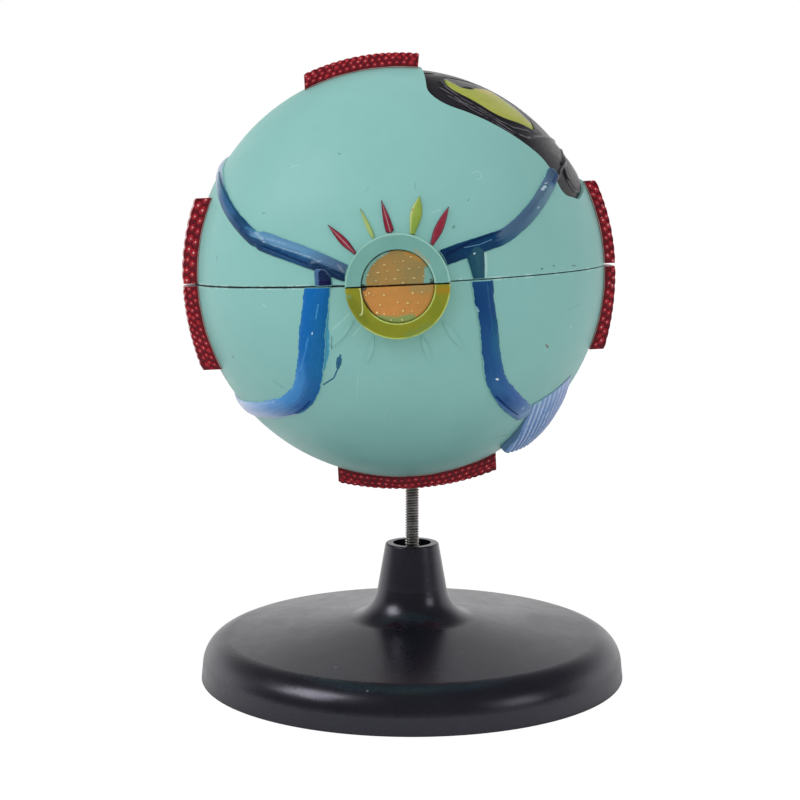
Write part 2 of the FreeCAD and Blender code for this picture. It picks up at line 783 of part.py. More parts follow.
def vein(paths, space):
    pieces = []
    for path in paths:
        widths = [(start[2] + end[2]) / 2 for start, end in zip(path, path[1:])]
        for start, end, half_width in zip(path, path[1:], widths):
            pieces.append(vein_run(start, end, half_width))
        for place, before, after in zip(path, widths[:1] + widths, widths + widths[-1:]):
            radius, major = vein_section(max(before, after))
            pieces.append(ball(radius + vein_joint_extra, direction(*place[:2]) * major))
    body = pieces[0].multiFuse(pieces[1:])
    body = body.cut(ball(eye_radius + bond_gap))
    sheath = rod_along(nerve_radius + bond_gap, UP * -nerve_drop, UP * -nerve_drop + REAR * FAR)
    return one_solid(body.common(space).cut(sheath))


def vein_upper_right(space):
    whole = vein(vein_bend_points["vortex_vein_upper_right"], space)
    return one_solid(whole.cut(window_tool(window_outline, sclera_inner, FAR / 2)))


def vein_lower_right(space):
    whole = vein(vein_bend_points["vortex_vein_lower_right"], space)
    block = oblique_block(bond_gap)
    block.Placement = oblique_frame()
    return one_solid(whole.cut(block))


def leaves(entries):
    low = eye_radius + bond_gap
    return Part.makeCompound([one_solid(leaf(base, tip, width, low, eye_radius + leaf_height))
                              for base, tip, width in entries])


# ================================================================ assembly
def build():
    upper = upper_space()
    lower = lower_space()
    nodes = {
        "stand_base": stand_base(),
        "threaded_rod": threaded_rod(),
        "lower_washer": washer(),
        "lower_nut": hex_nut(web_low - washer_thickness - nut_thickness),
        "lock_nut": hex_nut(web_low + web_thickness),
        "threaded_insert": threaded_insert(),
    }
    eye = {
        "sclera_lower": sclera_lower(),
        "sclera_upper": sclera_upper(),
        "locating_pins": locating_pins(),
        "choroid_lower": choroid(lower),
        "choroid_upper": choroid(upper),
        "retina_lower": retina(lower),
        "retina_upper": retina(upper),
        "choroid_window": choroid_window(),
        "retina_window": retina_window(),
        "ciliary_body_lower": ciliary_body(lower, 180.0),
        "ciliary_body_upper": ciliary_body(upper, 0.0),
        "iris_lower": iris(lower),
        "iris_upper": iris(upper),
        "cornea_lower": cornea(lower),
        "cornea_upper": cornea(upper),
        "lens": lens(),
        "vitreous_shell": vitreous_shell(),
        "vitreous_front": vitreous_front(),
        "optic_nerve_sheath_lower": nerve_sheath(lower),
        "optic_nerve_sheath_upper": nerve_sheath(upper),
        "optic_nerve_core_lower": nerve_core(lower),
        "optic_nerve_core_upper": nerve_core(upper),
        "superior_rectus": superior_rectus(),
        "inferior_rectus": inferior_rectus(),
        "medial_rectus_lower": medial_rectus(lower_pad_flatness, lower),
        "medial_rectus_upper": medial_rectus(upper_pad_flatness, upper),
        "lateral_rectus_lower": lateral_rectus(lower_pad_flatness, lower),
        "lateral_rectus_upper": lateral_rectus(upper_pad_flatness, upper),
        "inferior_oblique": inferior_oblique(),
        "vortex_vein_upper_left": vein(vein_bend_points["vortex_vein_upper_left"], upper),
        "vortex_vein_lower_left": vein(vein_bend_points["vortex_vein_lower_left"], lower),
        "vortex_vein_upper_right": vein_upper_right(upper),
        "vortex_vein_lower_right": vein_lower_right(lower),
        "ciliary_arteries": leaves(artery_leaves),
        "ciliary_nerves": leaves(nerve_leaves),
    }
    for name, shape in eye.items():
        nodes[name] = placed(shape)
    return nodes


os.makedirs("parts", exist_ok=True)
for name, shape in build().items():
    if not shape.isValid():
        print("not valid:", name)
    shape.exportStep(os.path.join("parts", name + ".step"))
    box = shape.BoundBox
    print("%-26s solids %d faces %3d volume %9.1f  x %.1f %.1f  y %.1f %.1f  z %.1f %.1f" % (
        name, len(shape.Solids), len(shape.Faces), shape.Volume,
        box.XMin, box.XMax, box.YMin, box.YMax, box.ZMin, box.ZMax))
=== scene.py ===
import json
import math

import bpy
import numpy as np
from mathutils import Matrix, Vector

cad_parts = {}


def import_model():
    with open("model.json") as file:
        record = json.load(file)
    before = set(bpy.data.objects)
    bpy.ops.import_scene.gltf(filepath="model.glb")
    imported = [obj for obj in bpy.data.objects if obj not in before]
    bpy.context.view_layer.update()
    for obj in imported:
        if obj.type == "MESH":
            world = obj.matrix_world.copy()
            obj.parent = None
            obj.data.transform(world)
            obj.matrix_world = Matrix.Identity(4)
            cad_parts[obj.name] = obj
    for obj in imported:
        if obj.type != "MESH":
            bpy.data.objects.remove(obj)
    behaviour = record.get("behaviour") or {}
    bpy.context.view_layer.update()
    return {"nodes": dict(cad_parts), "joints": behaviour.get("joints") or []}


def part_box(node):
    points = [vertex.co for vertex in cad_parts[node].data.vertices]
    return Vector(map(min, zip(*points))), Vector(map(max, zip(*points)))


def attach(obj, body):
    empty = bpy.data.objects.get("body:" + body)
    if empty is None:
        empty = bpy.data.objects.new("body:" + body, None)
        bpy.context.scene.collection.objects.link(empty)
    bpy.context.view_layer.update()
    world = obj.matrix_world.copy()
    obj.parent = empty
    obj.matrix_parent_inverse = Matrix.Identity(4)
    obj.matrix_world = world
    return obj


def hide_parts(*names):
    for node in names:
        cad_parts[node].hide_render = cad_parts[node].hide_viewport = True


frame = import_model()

# Eye anatomy model on its stand. Metres for Blender; the eye's own sizes are in
# millimetres, in axes that point to its right, its front and its top.

nodes = frame["nodes"]
scene = bpy.context.scene

# ---------------------------------------------------------------- sizes, mm
eye_radius = 60.0
seam_half = 0.15              # half of the open line between the two halves
glue = 0.1                    # between a piece and the ball under it
paint_film = 0.14             # how far paint stands above the ball
relief_foot = 0.02            # how far the underside of a vein or leaf stands above the ball
leaf_height = 0.75
choroid_drop = 0.85           # of the window's black layer below the ball's skin
retina_drop = 1.35            # of its yellow layer
window_underside = 1.95       # of both
window_clearance = 1.5        # between the window and the muscle beside it
bead_height = 0.34            # of the beads on the muscles' cut faces
nerve_radius = 13.5
nerve_core_radius = 9.5
nerve_drop = 0.25
nerve_core_end = 66.9
pad_width = 49.0
tendon_height = 1.2
tendon_front = 35.0
tendon_corner = 9.0
insert_hole = 3.75
rod_radius = 2.085
thread_pitch = 0.794
thread_depth = 0.42

# ================================================================ the eye's place
ball_low, ball_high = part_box("vitreous_shell")
lift_joint = next(joint for joint in frame["joints"] if joint["name"] == "upper_half_lift")
up = Vector(lift_joint["axis"]).normalized()
front = Vector((0, 1, 0))
right = front.cross(up)
eye_centre = np.array([(ball_low.x + ball_high.x) / 2, 0, (ball_low.z + ball_high.z) / 2])
eye_axes = np.array([right, front, up])


def world(points):
    """Points in the eye's millimetres as points of the scene, in metres."""
    return points @ eye_axes * 0.001 + eye_centre


def unit(vectors):
    return vectors / np.linalg.norm(vectors, axis=-1, keepdims=True)


def ball_direction(off, around):
    """Unit vector of a place on the ball, in degrees.

    off is counted from the rear pole, around from the right towards the top.
    """
    off = np.radians(off)
    around = np.radians(around)
    side = np.sin(off)
    return np.stack([side * np.cos(around), -np.cos(off), side * np.sin(around)], axis=-1)


def on_ball(off, around):
    """A place on the ball in millimetres from its centre, along the scene's axes."""
    return tuple(ball_direction(off, around) @ eye_axes * eye_radius)


def nerve_place(x, z):
    """The place on the ball under a point of the optic nerve's end."""
    return math.degrees(math.atan(math.hypot(x, z) / nerve_core_end)), math.degrees(math.atan2(z, x))


# ================================================================ camera, lamps and floor
camera_place = (0, -0.5, 0.144757)
camera_tilt = 0.12337         # downwards, radians
lamps = [                     # name, place, size, watts, and whether gloss shows it
    ("key_lamp", (-0.66, -0.26, 0.73), 0.42, 3.0, True),
    ("front_lamp", (-0.1, -0.95, 0.42), 0.5, 1.7, False),
    ("fill_lamp", (0.75, -0.45, 0.35), 0.3, 0.65, True),
    ("rim_lamp", (0.15, 0.6, 0.85), 0.6, 2.6, False)]
floor_reach = 6.0

camera_data = bpy.data.cameras.new("camera")
camera_data.lens = 76.065
camera_data.sensor_width = 36.0
camera_data.shift_x = -0.01506
camera = bpy.data.objects.new("camera", camera_data)
camera.location = camera_place
camera.rotation_euler = (math.pi / 2 - camera_tilt, 0, 0)
scene.collection.objects.link(camera)
scene.camera = camera

for name, place, size, watts, in_gloss in lamps:
    data = bpy.data.lights.new(name, "AREA")
    data.size = size
    data.energy = watts
    lamp = bpy.data.objects.new(name, data)
    lamp.location = place
    lamp.visible_glossy = in_gloss
    lamp.rotation_euler = (Vector(eye_centre) - Vector(place)).to_track_quat("-Z", "Y").to_euler()
    scene.collection.objects.link(lamp)


# ================================================================ shader helpers
def connect(tree, socket, value):
    if isinstance(value, Shade):
        value = value.socket
    if isinstance(value, bpy.types.NodeSocket):
        tree.links.new(value, socket)
    else:
        socket.default_value = value


def add(tree, kind, inputs=(), **settings):
    """New shader node; inputs names its sockets' values or the shades that feed them."""
    node = tree.nodes.new("ShaderNode" + kind)
    for name, value in settings.items():
        setattr(node, name, value)
    for name, value in dict(inputs).items():
        connect(tree, node.inputs[name], value)
    return node


def shade(tree, kind, inputs=(), output=0, **settings):
    """What a new shader node puts out."""
    return Shade(tree, add(tree, kind, inputs, **settings).outputs[output])


def maths(tree, operation, first, second=0.0, clamp=False):
    return shade(tree, "Math", {0: first, 1: second}, operation=operation, use_clamp=clamp)


def rgba(colour):
    return colour if isinstance(colour, Shade) else tuple(colour) + (1.0,)


class Shade:
    """A place, a mask or a colour that changes over a surface."""

    def __init__(self, tree, socket):
        self.tree = tree
        self.socket = socket

    def __add__(self, other):
        return maths(self.tree, "ADD", self, other)

    def __sub__(self, other):
        return maths(self.tree, "SUBTRACT", self, other)

    def __rsub__(self, other):
        return maths(self.tree, "SUBTRACT", other, self)

    def __mul__(self, other):
        return maths(self.tree, "MULTIPLY", self, other)

    def __abs__(self):
        return maths(self.tree, "ABSOLUTE", self)

    def most(self, other):
        return maths(self.tree, "MAXIMUM", self, other)

    def ramp(self, low, high, to_low=0.0, to_high=1.0):
        """Smooth change from to_low, where this is low, to to_high."""
        return shade(self.tree, "MapRange", {"Value": self, "From Min": low, "From Max": high,
                                             "To Min": to_low, "To Max": to_high},
                     interpolation_type="SMOOTHSTEP")

    def between(self, first, second):
        """The first colour where this mask is 0, the second where it is 1."""
        return shade(self.tree, "Mix", {0: self, 6: rgba(first), 7: rgba(second)}, 2, data_type="RGBA")

    def under(self, colour, share):
        """This colour with another over it, from 0, bare, to 1, hidden."""
        return shade(self.tree, "Mix", {0: share, 6: self, 7: rgba(colour)}, 2, data_type="RGBA")

    def band(self, stops):
        """Colours along this share from 0 to 1, given as (place, colour) stops."""
        node = add(self.tree, "ValToRGB", {0: self})
        ramp = node.color_ramp
        while len(ramp.elements) < len(stops):
            ramp.elements.new(0.5)
        for element, (place, colour) in zip(ramp.elements, stops):
            element.position = place
            element.color = tuple(colour) + (1.0,)
        return Shade(self.tree, node.outputs[0])

    def noise(self, scale, detail, roughness=0.55):
        return shade(self.tree, "TexNoise", {"Vector": self, "Scale": scale, "Detail": detail,
                                             "Roughness": roughness}, "Fac")

    def vector(self, operation, other=(0, 0, 0), output=0):
        return shade(self.tree, "VectorMath", {0: self, 1: other}, output, operation=operation)

    def scaled(self, factor):
        return shade(self.tree, "VectorMath", {0: self, "Scale": factor}, operation="SCALE")


# ---------------------------------------------------------------- effects that several finishes share
def draw_mottle(tree, where, scale, contrast):
    """Uneven pigment: cloudy patches with a finer grain in them."""
    clouds = where.noise(scale, 4.0, 0.6) * 0.75 + where.noise(scale * 7.0, 2.0) * 0.25
    return maths(tree, "ADD", (clouds - 0.5) * contrast, 0.5, clamp=True)


def draw_specks(tree, where, scale, size, share):
    """Small round specks, only in some of the cells they are drawn in."""
    cells = add(tree, "TexVoronoi", {"Vector": where, "Scale": scale}).outputs
    chosen = add(tree, "SeparateColor", {"Color": cells["Color"]}).outputs
    radius = size * chosen["Green"]
    wanted = maths(tree, "LESS_THAN", chosen["Red"], share)
    return Shade(tree, cells["Distance"]).ramp(radius * 0.6, radius, 1.0, 0.0) * wanted


def draw_scratches(tree, where, scale, width, share):
    """Thin lines where a long stretched noise passes its middle, broken up by a coarse one."""
    lines = []
    for turn in ((0.5, 0.9, 0.2), (1.1, -0.4, 2.3)):
        turned = shade(tree, "Mapping", {"Vector": where, "Rotation": turn, "Scale": (1.0, 0.06, 1.0)})
        lines.append(abs(turned.noise(scale, 1.0) - 0.5).ramp(0.0, width, 1.0, 0.0))
    return lines[0].most(lines[1]) * where.noise(scale * 0.9, 2.0).ramp(0.72 - share, 0.75)


def draw_moulding_grain(tree, where, wave, peel):
    """Height of a moulded plastic skin: a slow waviness and a fine orange peel."""
    return where.noise(wave, 2.0) + where.noise(peel, 3.0) * 0.12


def draw_paint_mark(tree, where, start, end, width, soft, ragged):
    """Mask of a stroke over the ball from one place to another, with a soft and ragged edge; millimetres."""
    stroke = end.vector("SUBTRACT", start)
    here = where.vector("SUBTRACT", start).vector("DOT_PRODUCT", stroke, "Value")
    length = stroke.vector("DOT_PRODUCT", stroke, "Value").most(1e-6)
    share = maths(tree, "DIVIDE", here, length, clamp=True)
    nearest = start.vector("ADD", stroke.scaled(share)).vector("NORMALIZE").scaled(eye_radius)
    ripple = (where.noise(0.9, 4.0, 0.65) - 0.5) * ragged
    return (where.vector("DISTANCE", nearest, "Value") + ripple).ramp(width, width - soft)


def make_group(name, draw, puts_out, *labels):
    """Shader node group with named sockets; draw makes what it puts out of what it is given."""
    tree = bpy.data.node_groups.new(name, "ShaderNodeTree")
    for label in labels:
        kind = "Vector" if label in ("Where", "Start", "End") else "Float"
        tree.interface.new_socket(name=label, in_out="INPUT", socket_type="NodeSocket" + kind)
    tree.interface.new_socket(name=puts_out, in_out="OUTPUT", socket_type="NodeSocketFloat")
    given = tree.nodes.new("NodeGroupInput").outputs
    out = tree.nodes.new("NodeGroupOutput")
    connect(tree, out.inputs[puts_out], draw(tree, *[Shade(tree, given[label]) for label in labels]))
    return tree


mottle = make_group("mottle", draw_mottle, "Mask", "Where", "Scale", "Contrast")
specks = make_group("specks", draw_specks, "Mask", "Where", "Scale", "Size", "Share")
scratches = make_group("scratches", draw_scratches, "Mask", "Where", "Scale", "Width", "Share")
moulding_grain = make_group("moulding_grain", draw_moulding_grain, "Height", "Where", "Wave", "Peel")
paint_mark = make_group("paint_mark", draw_paint_mark, "Mask",
                        "Where", "Start", "End", "Width", "Soft", "Ragged")


class Finish:
    """A material under way: its tree, its shader and the place on the object that it is drawn at."""

    def __init__(self, name, **values):
        self.material = bpy.data.materials.new(name)
        self.material.use_nodes = True
        self.tree = self.material.node_tree
        self.shader = self.tree.nodes["Principled BSDF"]
        self.where = shade(self.tree, "TexCoord", output="Object")
        self.on_ball = self.where.vector("SUBTRACT", tuple(eye_centre)).vector("NORMALIZE").scaled(eye_radius)
        self.shader.inputs["Specular IOR Level"].default_value = 0.22
        for name, value in values.items():
            self.shader.inputs[name.replace("_", " ").title().replace("Ior", "IOR")].default_value = value

    def placed(self, group, *values):
        """A shared effect in this material, with the material's own values."""
        node = self.tree.nodes.new("ShaderNodeGroup")
        node.node_tree = group
        for socket, value in zip(node.inputs, values):
            connect(self.tree, socket, value)
        return Shade(self.tree, node.outputs[0])

    def mottle(self, scale, contrast):
        return self.placed(mottle, self.where, scale, contrast)

    def specks(self, scale, size, share):
        return self.placed(specks, self.where, scale, size, share)

    def scratches(self, scale, width, share):
        return self.placed(scratches, self.where, scale, width, share)

    def grain(self, wave, peel):
        return self.placed(moulding_grain, self.where, wave, peel)

    def marked(self, tone, marks):
        """tone under strokes over the ball: (places, half width, softness, raggedness, colour, strength)."""
        for places, width, soft, ragged, colour, strength in marks:
            mask = 0.0
            for start, end in zip(places, places[1:]):
                stroke = self.placed(paint_mark, self.on_ball, on_ball(*start), on_ball(*end),
                                     width, soft, ragged)
                mask = maths(self.tree, "MAXIMUM", mask, stroke)
            tone = tone.under(colour, mask * strength)
        return tone

    def reading(self, name):
        """A value that the mesh carries."""
        return shade(self.tree, "Attribute", output="Fac", attribute_name=name)

    def from_centre(self, axis, drop=0.0):
        """Millimetres along one of the eye's axes, from its centre or from drop below it."""
        middle = tuple(world(np.array([0.0, 0.0, -drop])))
        offset = self.where.vector("SUBTRACT", middle)
        return offset.vector("DOT_PRODUCT", tuple(eye_axes[axis] * 1000), "Value")

    def done(self, tone, gloss, skin=None):
        """The material with its colour, its roughness as (low, high, mask), and its bump.

        skin is the bump's height, its strength and the height's depth in millimetres.
        """
        sockets = self.shader.inputs
        if tone is not None:
            connect(self.tree, sockets["Base Color"], tone)
        low, high, mask = gloss
        connect(self.tree, sockets["Roughness"], mask.ramp(0.0, 1.0, low, high))
        if skin is not None:
            height, strength, depth = skin
            connect(self.tree, sockets["Normal"], shade(
                self.tree, "Bump", {"Height": height, "Strength": strength, "Distance": depth * 0.001}))
        return self.material


# ================================================================ finishes
teal_deep = (0.192, 0.418, 0.388)
teal_plain = (0.240, 0.508, 0.476)
teal_pale = (0.298, 0.585, 0.548)


def teal_base(finish):
    """The ball's cloudy teal, before any marks."""
    tone = finish.mottle(22.0, 1.5).between(teal_deep, teal_pale).under(teal_plain, 0.55)
    tone = tone.under((0.42, 0.68, 0.64), finish.scratches(55.0, 0.005, 0.13) * 0.22)
    return tone.under((0.085, 0.19, 0.185), finish.specks(190.0, 0.2, 0.035) * 0.6)


def teal_sclera(name, marks):
    finish = Finish(name, ior=1.47, specular_ior_level=0.27)
    worn = abs(finish.from_centre(2)).ramp(0.75, 0.35) * finish.mottle(150.0, 2.5).ramp(0.45, 0.7)
    tone = teal_base(finish).under(pale_scuff_and_light, worn * 0.6)
    return finish.done(finish.marked(tone, marks), (0.36, 0.52, finish.mottle(60.0, 1.8)),
                       (finish.grain(30.0, 900.0), 0.2, 0.2))


ink = (0.025, 0.045, 0.055)
grime = (0.10, 0.25, 0.23)
# pale scuffs, and pale painted light over shaded creases
pale_scuff_and_light = (0.5, 0.76, 0.72)
drip_blue = (0.014, 0.105, 0.21)
smear_cyan = (0.03, 0.28, 0.45)
dark_seam = ([(13.6, 180.0), (35.0, 180.0), (62.0, 180.0), (89.0, 180.0)], 0.36, 0.1, 0.5, ink, 0.85)
upper_marks = [
    dark_seam,
    ([(42.5, 151.0), (41.6, 150.2)], 0.3, 0.25, 0.7, ink, 0.45),
    ([(38.2, 111.9), (38.6, 112.6)], 0.35, 0.25, 0.5, grime, 0.6),
    ([(44.0, 131.0), (43.0, 128.0)], 0.2, 0.2, 0.4, pale_scuff_and_light, 0.4),
    ([(24.5, 77.0), (26.3, 77.6)], 0.15, 0.15, 0.3, ink, 0.4),
    ([(28.1, 46.8), (28.6, 47.0)], 0.22, 0.15, 0.4, ink, 0.45),
    ([(19.9, 42.6), (20.4, 42.6)], 0.45, 0.35, 0.5, grime, 0.75),
    ([(35.2, 53.0), (36.6, 52.4), (37.2, 50.2), (36.2, 48.5), (34.9, 49.4)], 0.14, 0.12, 0.4,
     pale_scuff_and_light, 0.5),
    ([(57.3, 170.3), (57.0, 172.3)], 0.2, 0.15, 0.5, ink, 0.6),
    ([(39.9, 2.3), (40.3, 2.3)], 0.3, 0.15, 0.4, ink, 0.8),
    ([(44.4, 2.8), (44.9, 2.8)], 0.26, 0.15, 0.4, ink, 0.8),
    ([(52.6, 1.9), (54.4, 1.7)], 0.28, 0.2, 0.7, ink, 0.65),
    ([(26.0, 104.0), (24.8, 108.0)], 0.16, 0.15, 0.4, grime, 0.4),
    ([(20.0, 61.0), (21.5, 58.0)], 0.6, 0.6, 0.9, pale_scuff_and_light, 0.2),
    ([(62.4, 165.0), (65.2, 150.0)], 0.16, 0.14, 0.5, pale_scuff_and_light, 0.4),
    ([(23.6, 16.5), (22.9, 8.0), (22.3, 1.6)], 0.8, 0.35, 0.4, (0.42, 0.66, 0.64), 0.85),
]
lower_marks = [
    dark_seam,
    ([(34.6, -128.6), (30.8, -126.5), (27.9, -127.6)], 0.27, 0.12, 0.15, drip_blue, 0.95),
    ([(27.4, -128.0), (26.0, -129.3)], 0.62, 0.2, 0.15, drip_blue, 0.95),
    ([(26.4, -128.9), (25.2, -130.1)], 0.85, 0.2, 0.15, drip_blue, 0.95),
    ([(25.2, -130.1), (24.1, -131.1)], 0.42, 0.2, 0.15, drip_blue, 0.9),
    ([(19.5, -171.0), (20.1, -160.6), (22.1, -150.8)], 1.2, 0.45, 1.3, smear_cyan, 0.9),
    ([(22.5, -148.8), (25.8, -139.6), (30.4, -134.6)], 1.3, 0.5, 1.3, smear_cyan, 0.9),
    ([(22.0, -143.5), (24.3, -137.9)], 0.25, 0.2, 0.3, drip_blue, 0.7),
    ([(58.0, -156.9), (58.9, -157.6)], 0.35, 0.25, 0.6, ink, 0.55),
    ([(58.6, 175.0), (57.4, 177.5)], 0.2, 0.15, 0.4, ink, 0.6),
    ([(74.0, -152.5), (76.5, -151.5)], 0.4, 0.35, 0.7, ink, 0.45),
    ([(37.7, -173.2), (37.2, -171.5)], 0.25, 0.25, 0.5, pale_scuff_and_light, 0.5),
    ([(47.0, -26.2), (48.3, -26.8)], 0.4, 0.25, 0.4, (0.19, 0.09, 0.07), 0.8),
    ([(72.5, -120.9), (78.0, -115.2)], 1.2, 1.1, 1.6, (0.07, 0.30, 0.15), 0.5),
    ([(46.8, -143.5), (45.9, -140.0)], 0.8, 0.8, 1.2, drip_blue, 0.2),
    ([(72.2, -135.9), (70.8, -133.2)], 0.6, 0.5, 0.8, grime, 0.5),
    ([(55.0, -18.0), (55.9, -18.3)], 0.25, 0.2, 0.3, pale_scuff_and_light, 0.5),
    # Painted light: the next three pale strokes lie over the shaded creases beside the moulded leaves near
    # the nerve.
    ([(14.4, -150.8), (20.4, -147.4)], 0.4, 0.4, 0.6, pale_scuff_and_light, 0.28),
    ([(14.2, -133.7), (17.6, -133.2)], 0.35, 0.35, 0.6, pale_scuff_and_light, 0.25),
    ([(24.0, -118.0), (34.0, -112.0)], 0.18, 0.18, 0.4, pale_scuff_and_light, 0.25),
    ([(50.0, -14.0), (58.0, -10.5)], 0.18, 0.18, 0.5, grime, 0.3),
    ([(60.5, -62.0), (64.0, -58.0)], 0.6, 0.6, 1.0, grime, 0.4),
]


def painted_vein(name, upper_side, lower_side, stub_left, stub_right, streaks, strokes, bare, thin):
    """Brushed blue paint; the bands run along the vein, and stubs have two sides of their own.

    bare is the width at the edges where the ball's teal shows, thin the width of thin paint next to it.
    """
    finish = Finish(name, coat_weight=0.06, coat_roughness=0.1, specular_ior_level=0.06, ior=1.47)
    along = finish.reading("along")
    side = finish.reading("side")
    brush = shade(finish.tree, "CombineXYZ", {"X": along * 3.0, "Y": side})
    wander = brush.noise(3.0, 3.0) - 0.5
    sway = along + wander * 0.12
    across = side + wander * 0.9
    tone = across.ramp(-0.2, 0.3).between(sway.band(lower_side), sway.band(upper_side))
    tone = tone.under(across.ramp(-0.45, -0.2).between(stub_left, stub_right), finish.reading("stub"))
    bristle = brush.vector("MULTIPLY", (3.0, 9.0, 1.0)).noise(4.0, 4.0, 0.7)
    tone = tone.under(streaks[0], bristle.ramp(0.52, 0.72) * streaks[1])
    tone = tone.under(tone.under((0.0, 0.012, 0.05), 0.6), bristle.ramp(0.45, 0.3) * 0.3)
    tone = finish.marked(tone, strokes)
    inset = finish.reading("inset") + (finish.where.noise(420.0, 4.0, 0.65) - 0.5) * (2.4 * bare)
    tone = tone.under(tone.under(smear_cyan, 0.45), inset.ramp(bare + thin, bare) * 0.7)
    tone = tone.under(teal_base(finish), inset.ramp(bare + 0.08, bare - 0.08))
    tone = tone.under((0.3, 0.5, 0.62), finish.specks(260.0, 0.25, 0.03) * 0.5)
    return finish.done(tone, (0.24, 0.42, bristle), (bristle, 0.3, 0.15))


midnight = (0.002, 0.022, 0.075)
navy = (0.003, 0.040, 0.115)
deep_blue = (0.009, 0.060, 0.185)
ocean = (0.026, 0.105, 0.245)
dusk = (0.075, 0.150, 0.270)
steel_blue = (0.100, 0.255, 0.430)
pale_steel = (0.420, 0.500, 0.600)
cobalt = (0.004, 0.125, 0.410)
azure = (0.050, 0.225, 0.530)
sky = (0.150, 0.310, 0.590)
lilac = (0.500, 0.590, 0.800)
slate = (0.062, 0.118, 0.200)
mist = (0.105, 0.215, 0.300)
# painted highlight: pale spots on the veins that stand for lamp glints
painted_glint = (0.75, 0.86, 0.9)

# The upper left vein's lighter upper side and darker lower side are partly its two-tone paint and partly
# painted light: the ridge's lit top and shaded underside.
vein_upper_left = painted_vein(
    "vein_paint_upper_left",
    [(0.33, pale_steel), (0.42, mist), (0.49, ocean), (0.57, ocean), (0.61, navy), (0.665, deep_blue),
     (0.70, steel_blue), (0.88, steel_blue), (0.96, dusk), (1.0, slate)],
    [(0.37, pale_steel), (0.42, (0.24, 0.34, 0.45)), (0.47, (0.08, 0.15, 0.27)), (0.55, (0.05, 0.135, 0.26)),
     (0.60, (0.018, 0.07, 0.16)), (0.65, (0.008, 0.042, 0.12)), (0.75, navy), (0.81, (0.005, 0.055, 0.165)),
     (0.88, (0.012, 0.075, 0.20)), (0.92, midnight), (1.0, midnight)],
    (0.05, 0.12, 0.26), (0.003, 0.012, 0.062), ((0.26, 0.42, 0.58), 0.4),
    [([(75.0, 147.5), (62.4, 151.1), (55.3, 153.4), (46.0, 157.7)], 0.45, 0.35, 0.4,
      (0.012, 0.06, 0.13), 0.8),
     ([(66.0, 154.4), (60.4, 155.7)], 0.4, 0.25, 0.5, (0.06, 0.03, 0.10), 0.8),
     ([(58.0, 158.2), (47.5, 162.6), (38.1, 165.6), (24.0, 169.0)], 0.45, 0.35, 0.3,
      (0.004, 0.016, 0.06), 0.85),
     ([(45.4, 158.3), (42.4, 158.3)], 0.45, 0.4, 0.7, (0.03, 0.20, 0.32), 0.6),
     # Painted highlights: the next three pale strokes run along the ridge's crest from the bend towards the
     # stub.
     ([(41.5, 158.7), (38.2, 160.0)], 0.7, 0.6, 2.2, (0.34, 0.52, 0.60), 0.5),
     ([(37.9, 161.0), (29.6, 160.9), (22.7, 160.9), (20.5, 162.0)], 0.22, 0.2, 1.0, (0.36, 0.50, 0.60), 0.5),
     ([(37.5, 159.4), (31.0, 158.6)], 0.15, 0.14, 0.7, (0.38, 0.54, 0.62), 0.4),
     ([(37.1, 163.4), (26.0, 165.3)], 0.22, 0.2, 0.4, (0.05, 0.16, 0.33), 0.7),
     ([(37.0, 162.8), (30.0, 163.9), (23.5, 165.4)], 0.5, 0.35, 0.5, (0.002, 0.02, 0.080), 0.8),
     ([(22.4, 163.9), (20.0, 161.4)], 0.6, 0.6, 0.8, (0.26, 0.34, 0.48), 0.35),
     ([(19.4, 176.9), (17.3, 176.7)], 0.55, 0.12, 0.2, (0.010, 0.006, 0.06), 0.85),
     ([(15.4, 160.6), (13.7, 165.1)], 0.45, 0.4, 0.9, (0.30, 0.32, 0.38), 0.45)],
    bare=0.1, thin=0.1)
vein_lower_left = painted_vein(
    "vein_paint_lower_left",
    [(0.0, cobalt), (0.22, cobalt), (0.30, azure), (0.42, azure), (0.52, sky), (0.62, (0.30, 0.44, 0.68)),
     (0.72, lilac)],
    [(0.0, cobalt), (0.12, (0.006, 0.13, 0.37)), (0.27, (0.012, 0.135, 0.36)), (0.40, (0.03, 0.12, 0.35)),
     (0.46, (0.09, 0.21, 0.46)), (0.56, (0.34, 0.46, 0.70)), (0.66, lilac)],
    cobalt, cobalt, ((0.05, 0.29, 0.60), 0.6),
    [([(25.0, -172.3), (35.4, -143.5)], 0.3, 0.25, 0.4, (0.04, 0.33, 0.60), 0.35),
     ([(22.5, -150.2), (26.7, -141.5), (33.0, -133.6)], 0.35, 0.3, 0.5, (0.012, 0.16, 0.38), 0.6),
     # Painted shade: a dark line in the crease at the bend.
     ([(50.5, -130.5), (45.7, -129.3), (41.6, -128.9)], 0.3, 0.2, 0.25, (0.003, 0.025, 0.15), 0.9),
     # Painted highlight: the next two strokes lay pale lilac along the vein's lower edge near the ball's
     # outline.
     ([(80.9, -140.9), (69.7, -137.6), (59.5, -134.1), (50.6, -129.9)], 0.5, 0.35, 0.6,
      (0.62, 0.66, 0.82), 0.85),
     ([(75.0, -143.0), (80.9, -142.6)], 1.4, 1.2, 1.2, (0.66, 0.70, 0.86), 0.8),
     ([(25.3, -152.6), (25.6, -151.9)], 0.2, 0.12, 0.2, painted_glint, 0.9),
     ([(20.8, -167.5), (22.6, -159.5)], 0.3, 0.25, 0.6, (0.09, 0.38, 0.66), 0.6),
     ([(27.2, -151.0), (31.0, -144.8), (35.5, -140.5)], 0.4, 0.35, 0.9, (0.07, 0.30, 0.62), 0.5),
     ([(32.6, -139.4), (34.2, -139.2)], 0.3, 0.3, 0.5, (0.01, 0.06, 0.28), 0.5)],
    bare=0.1, thin=0.4)
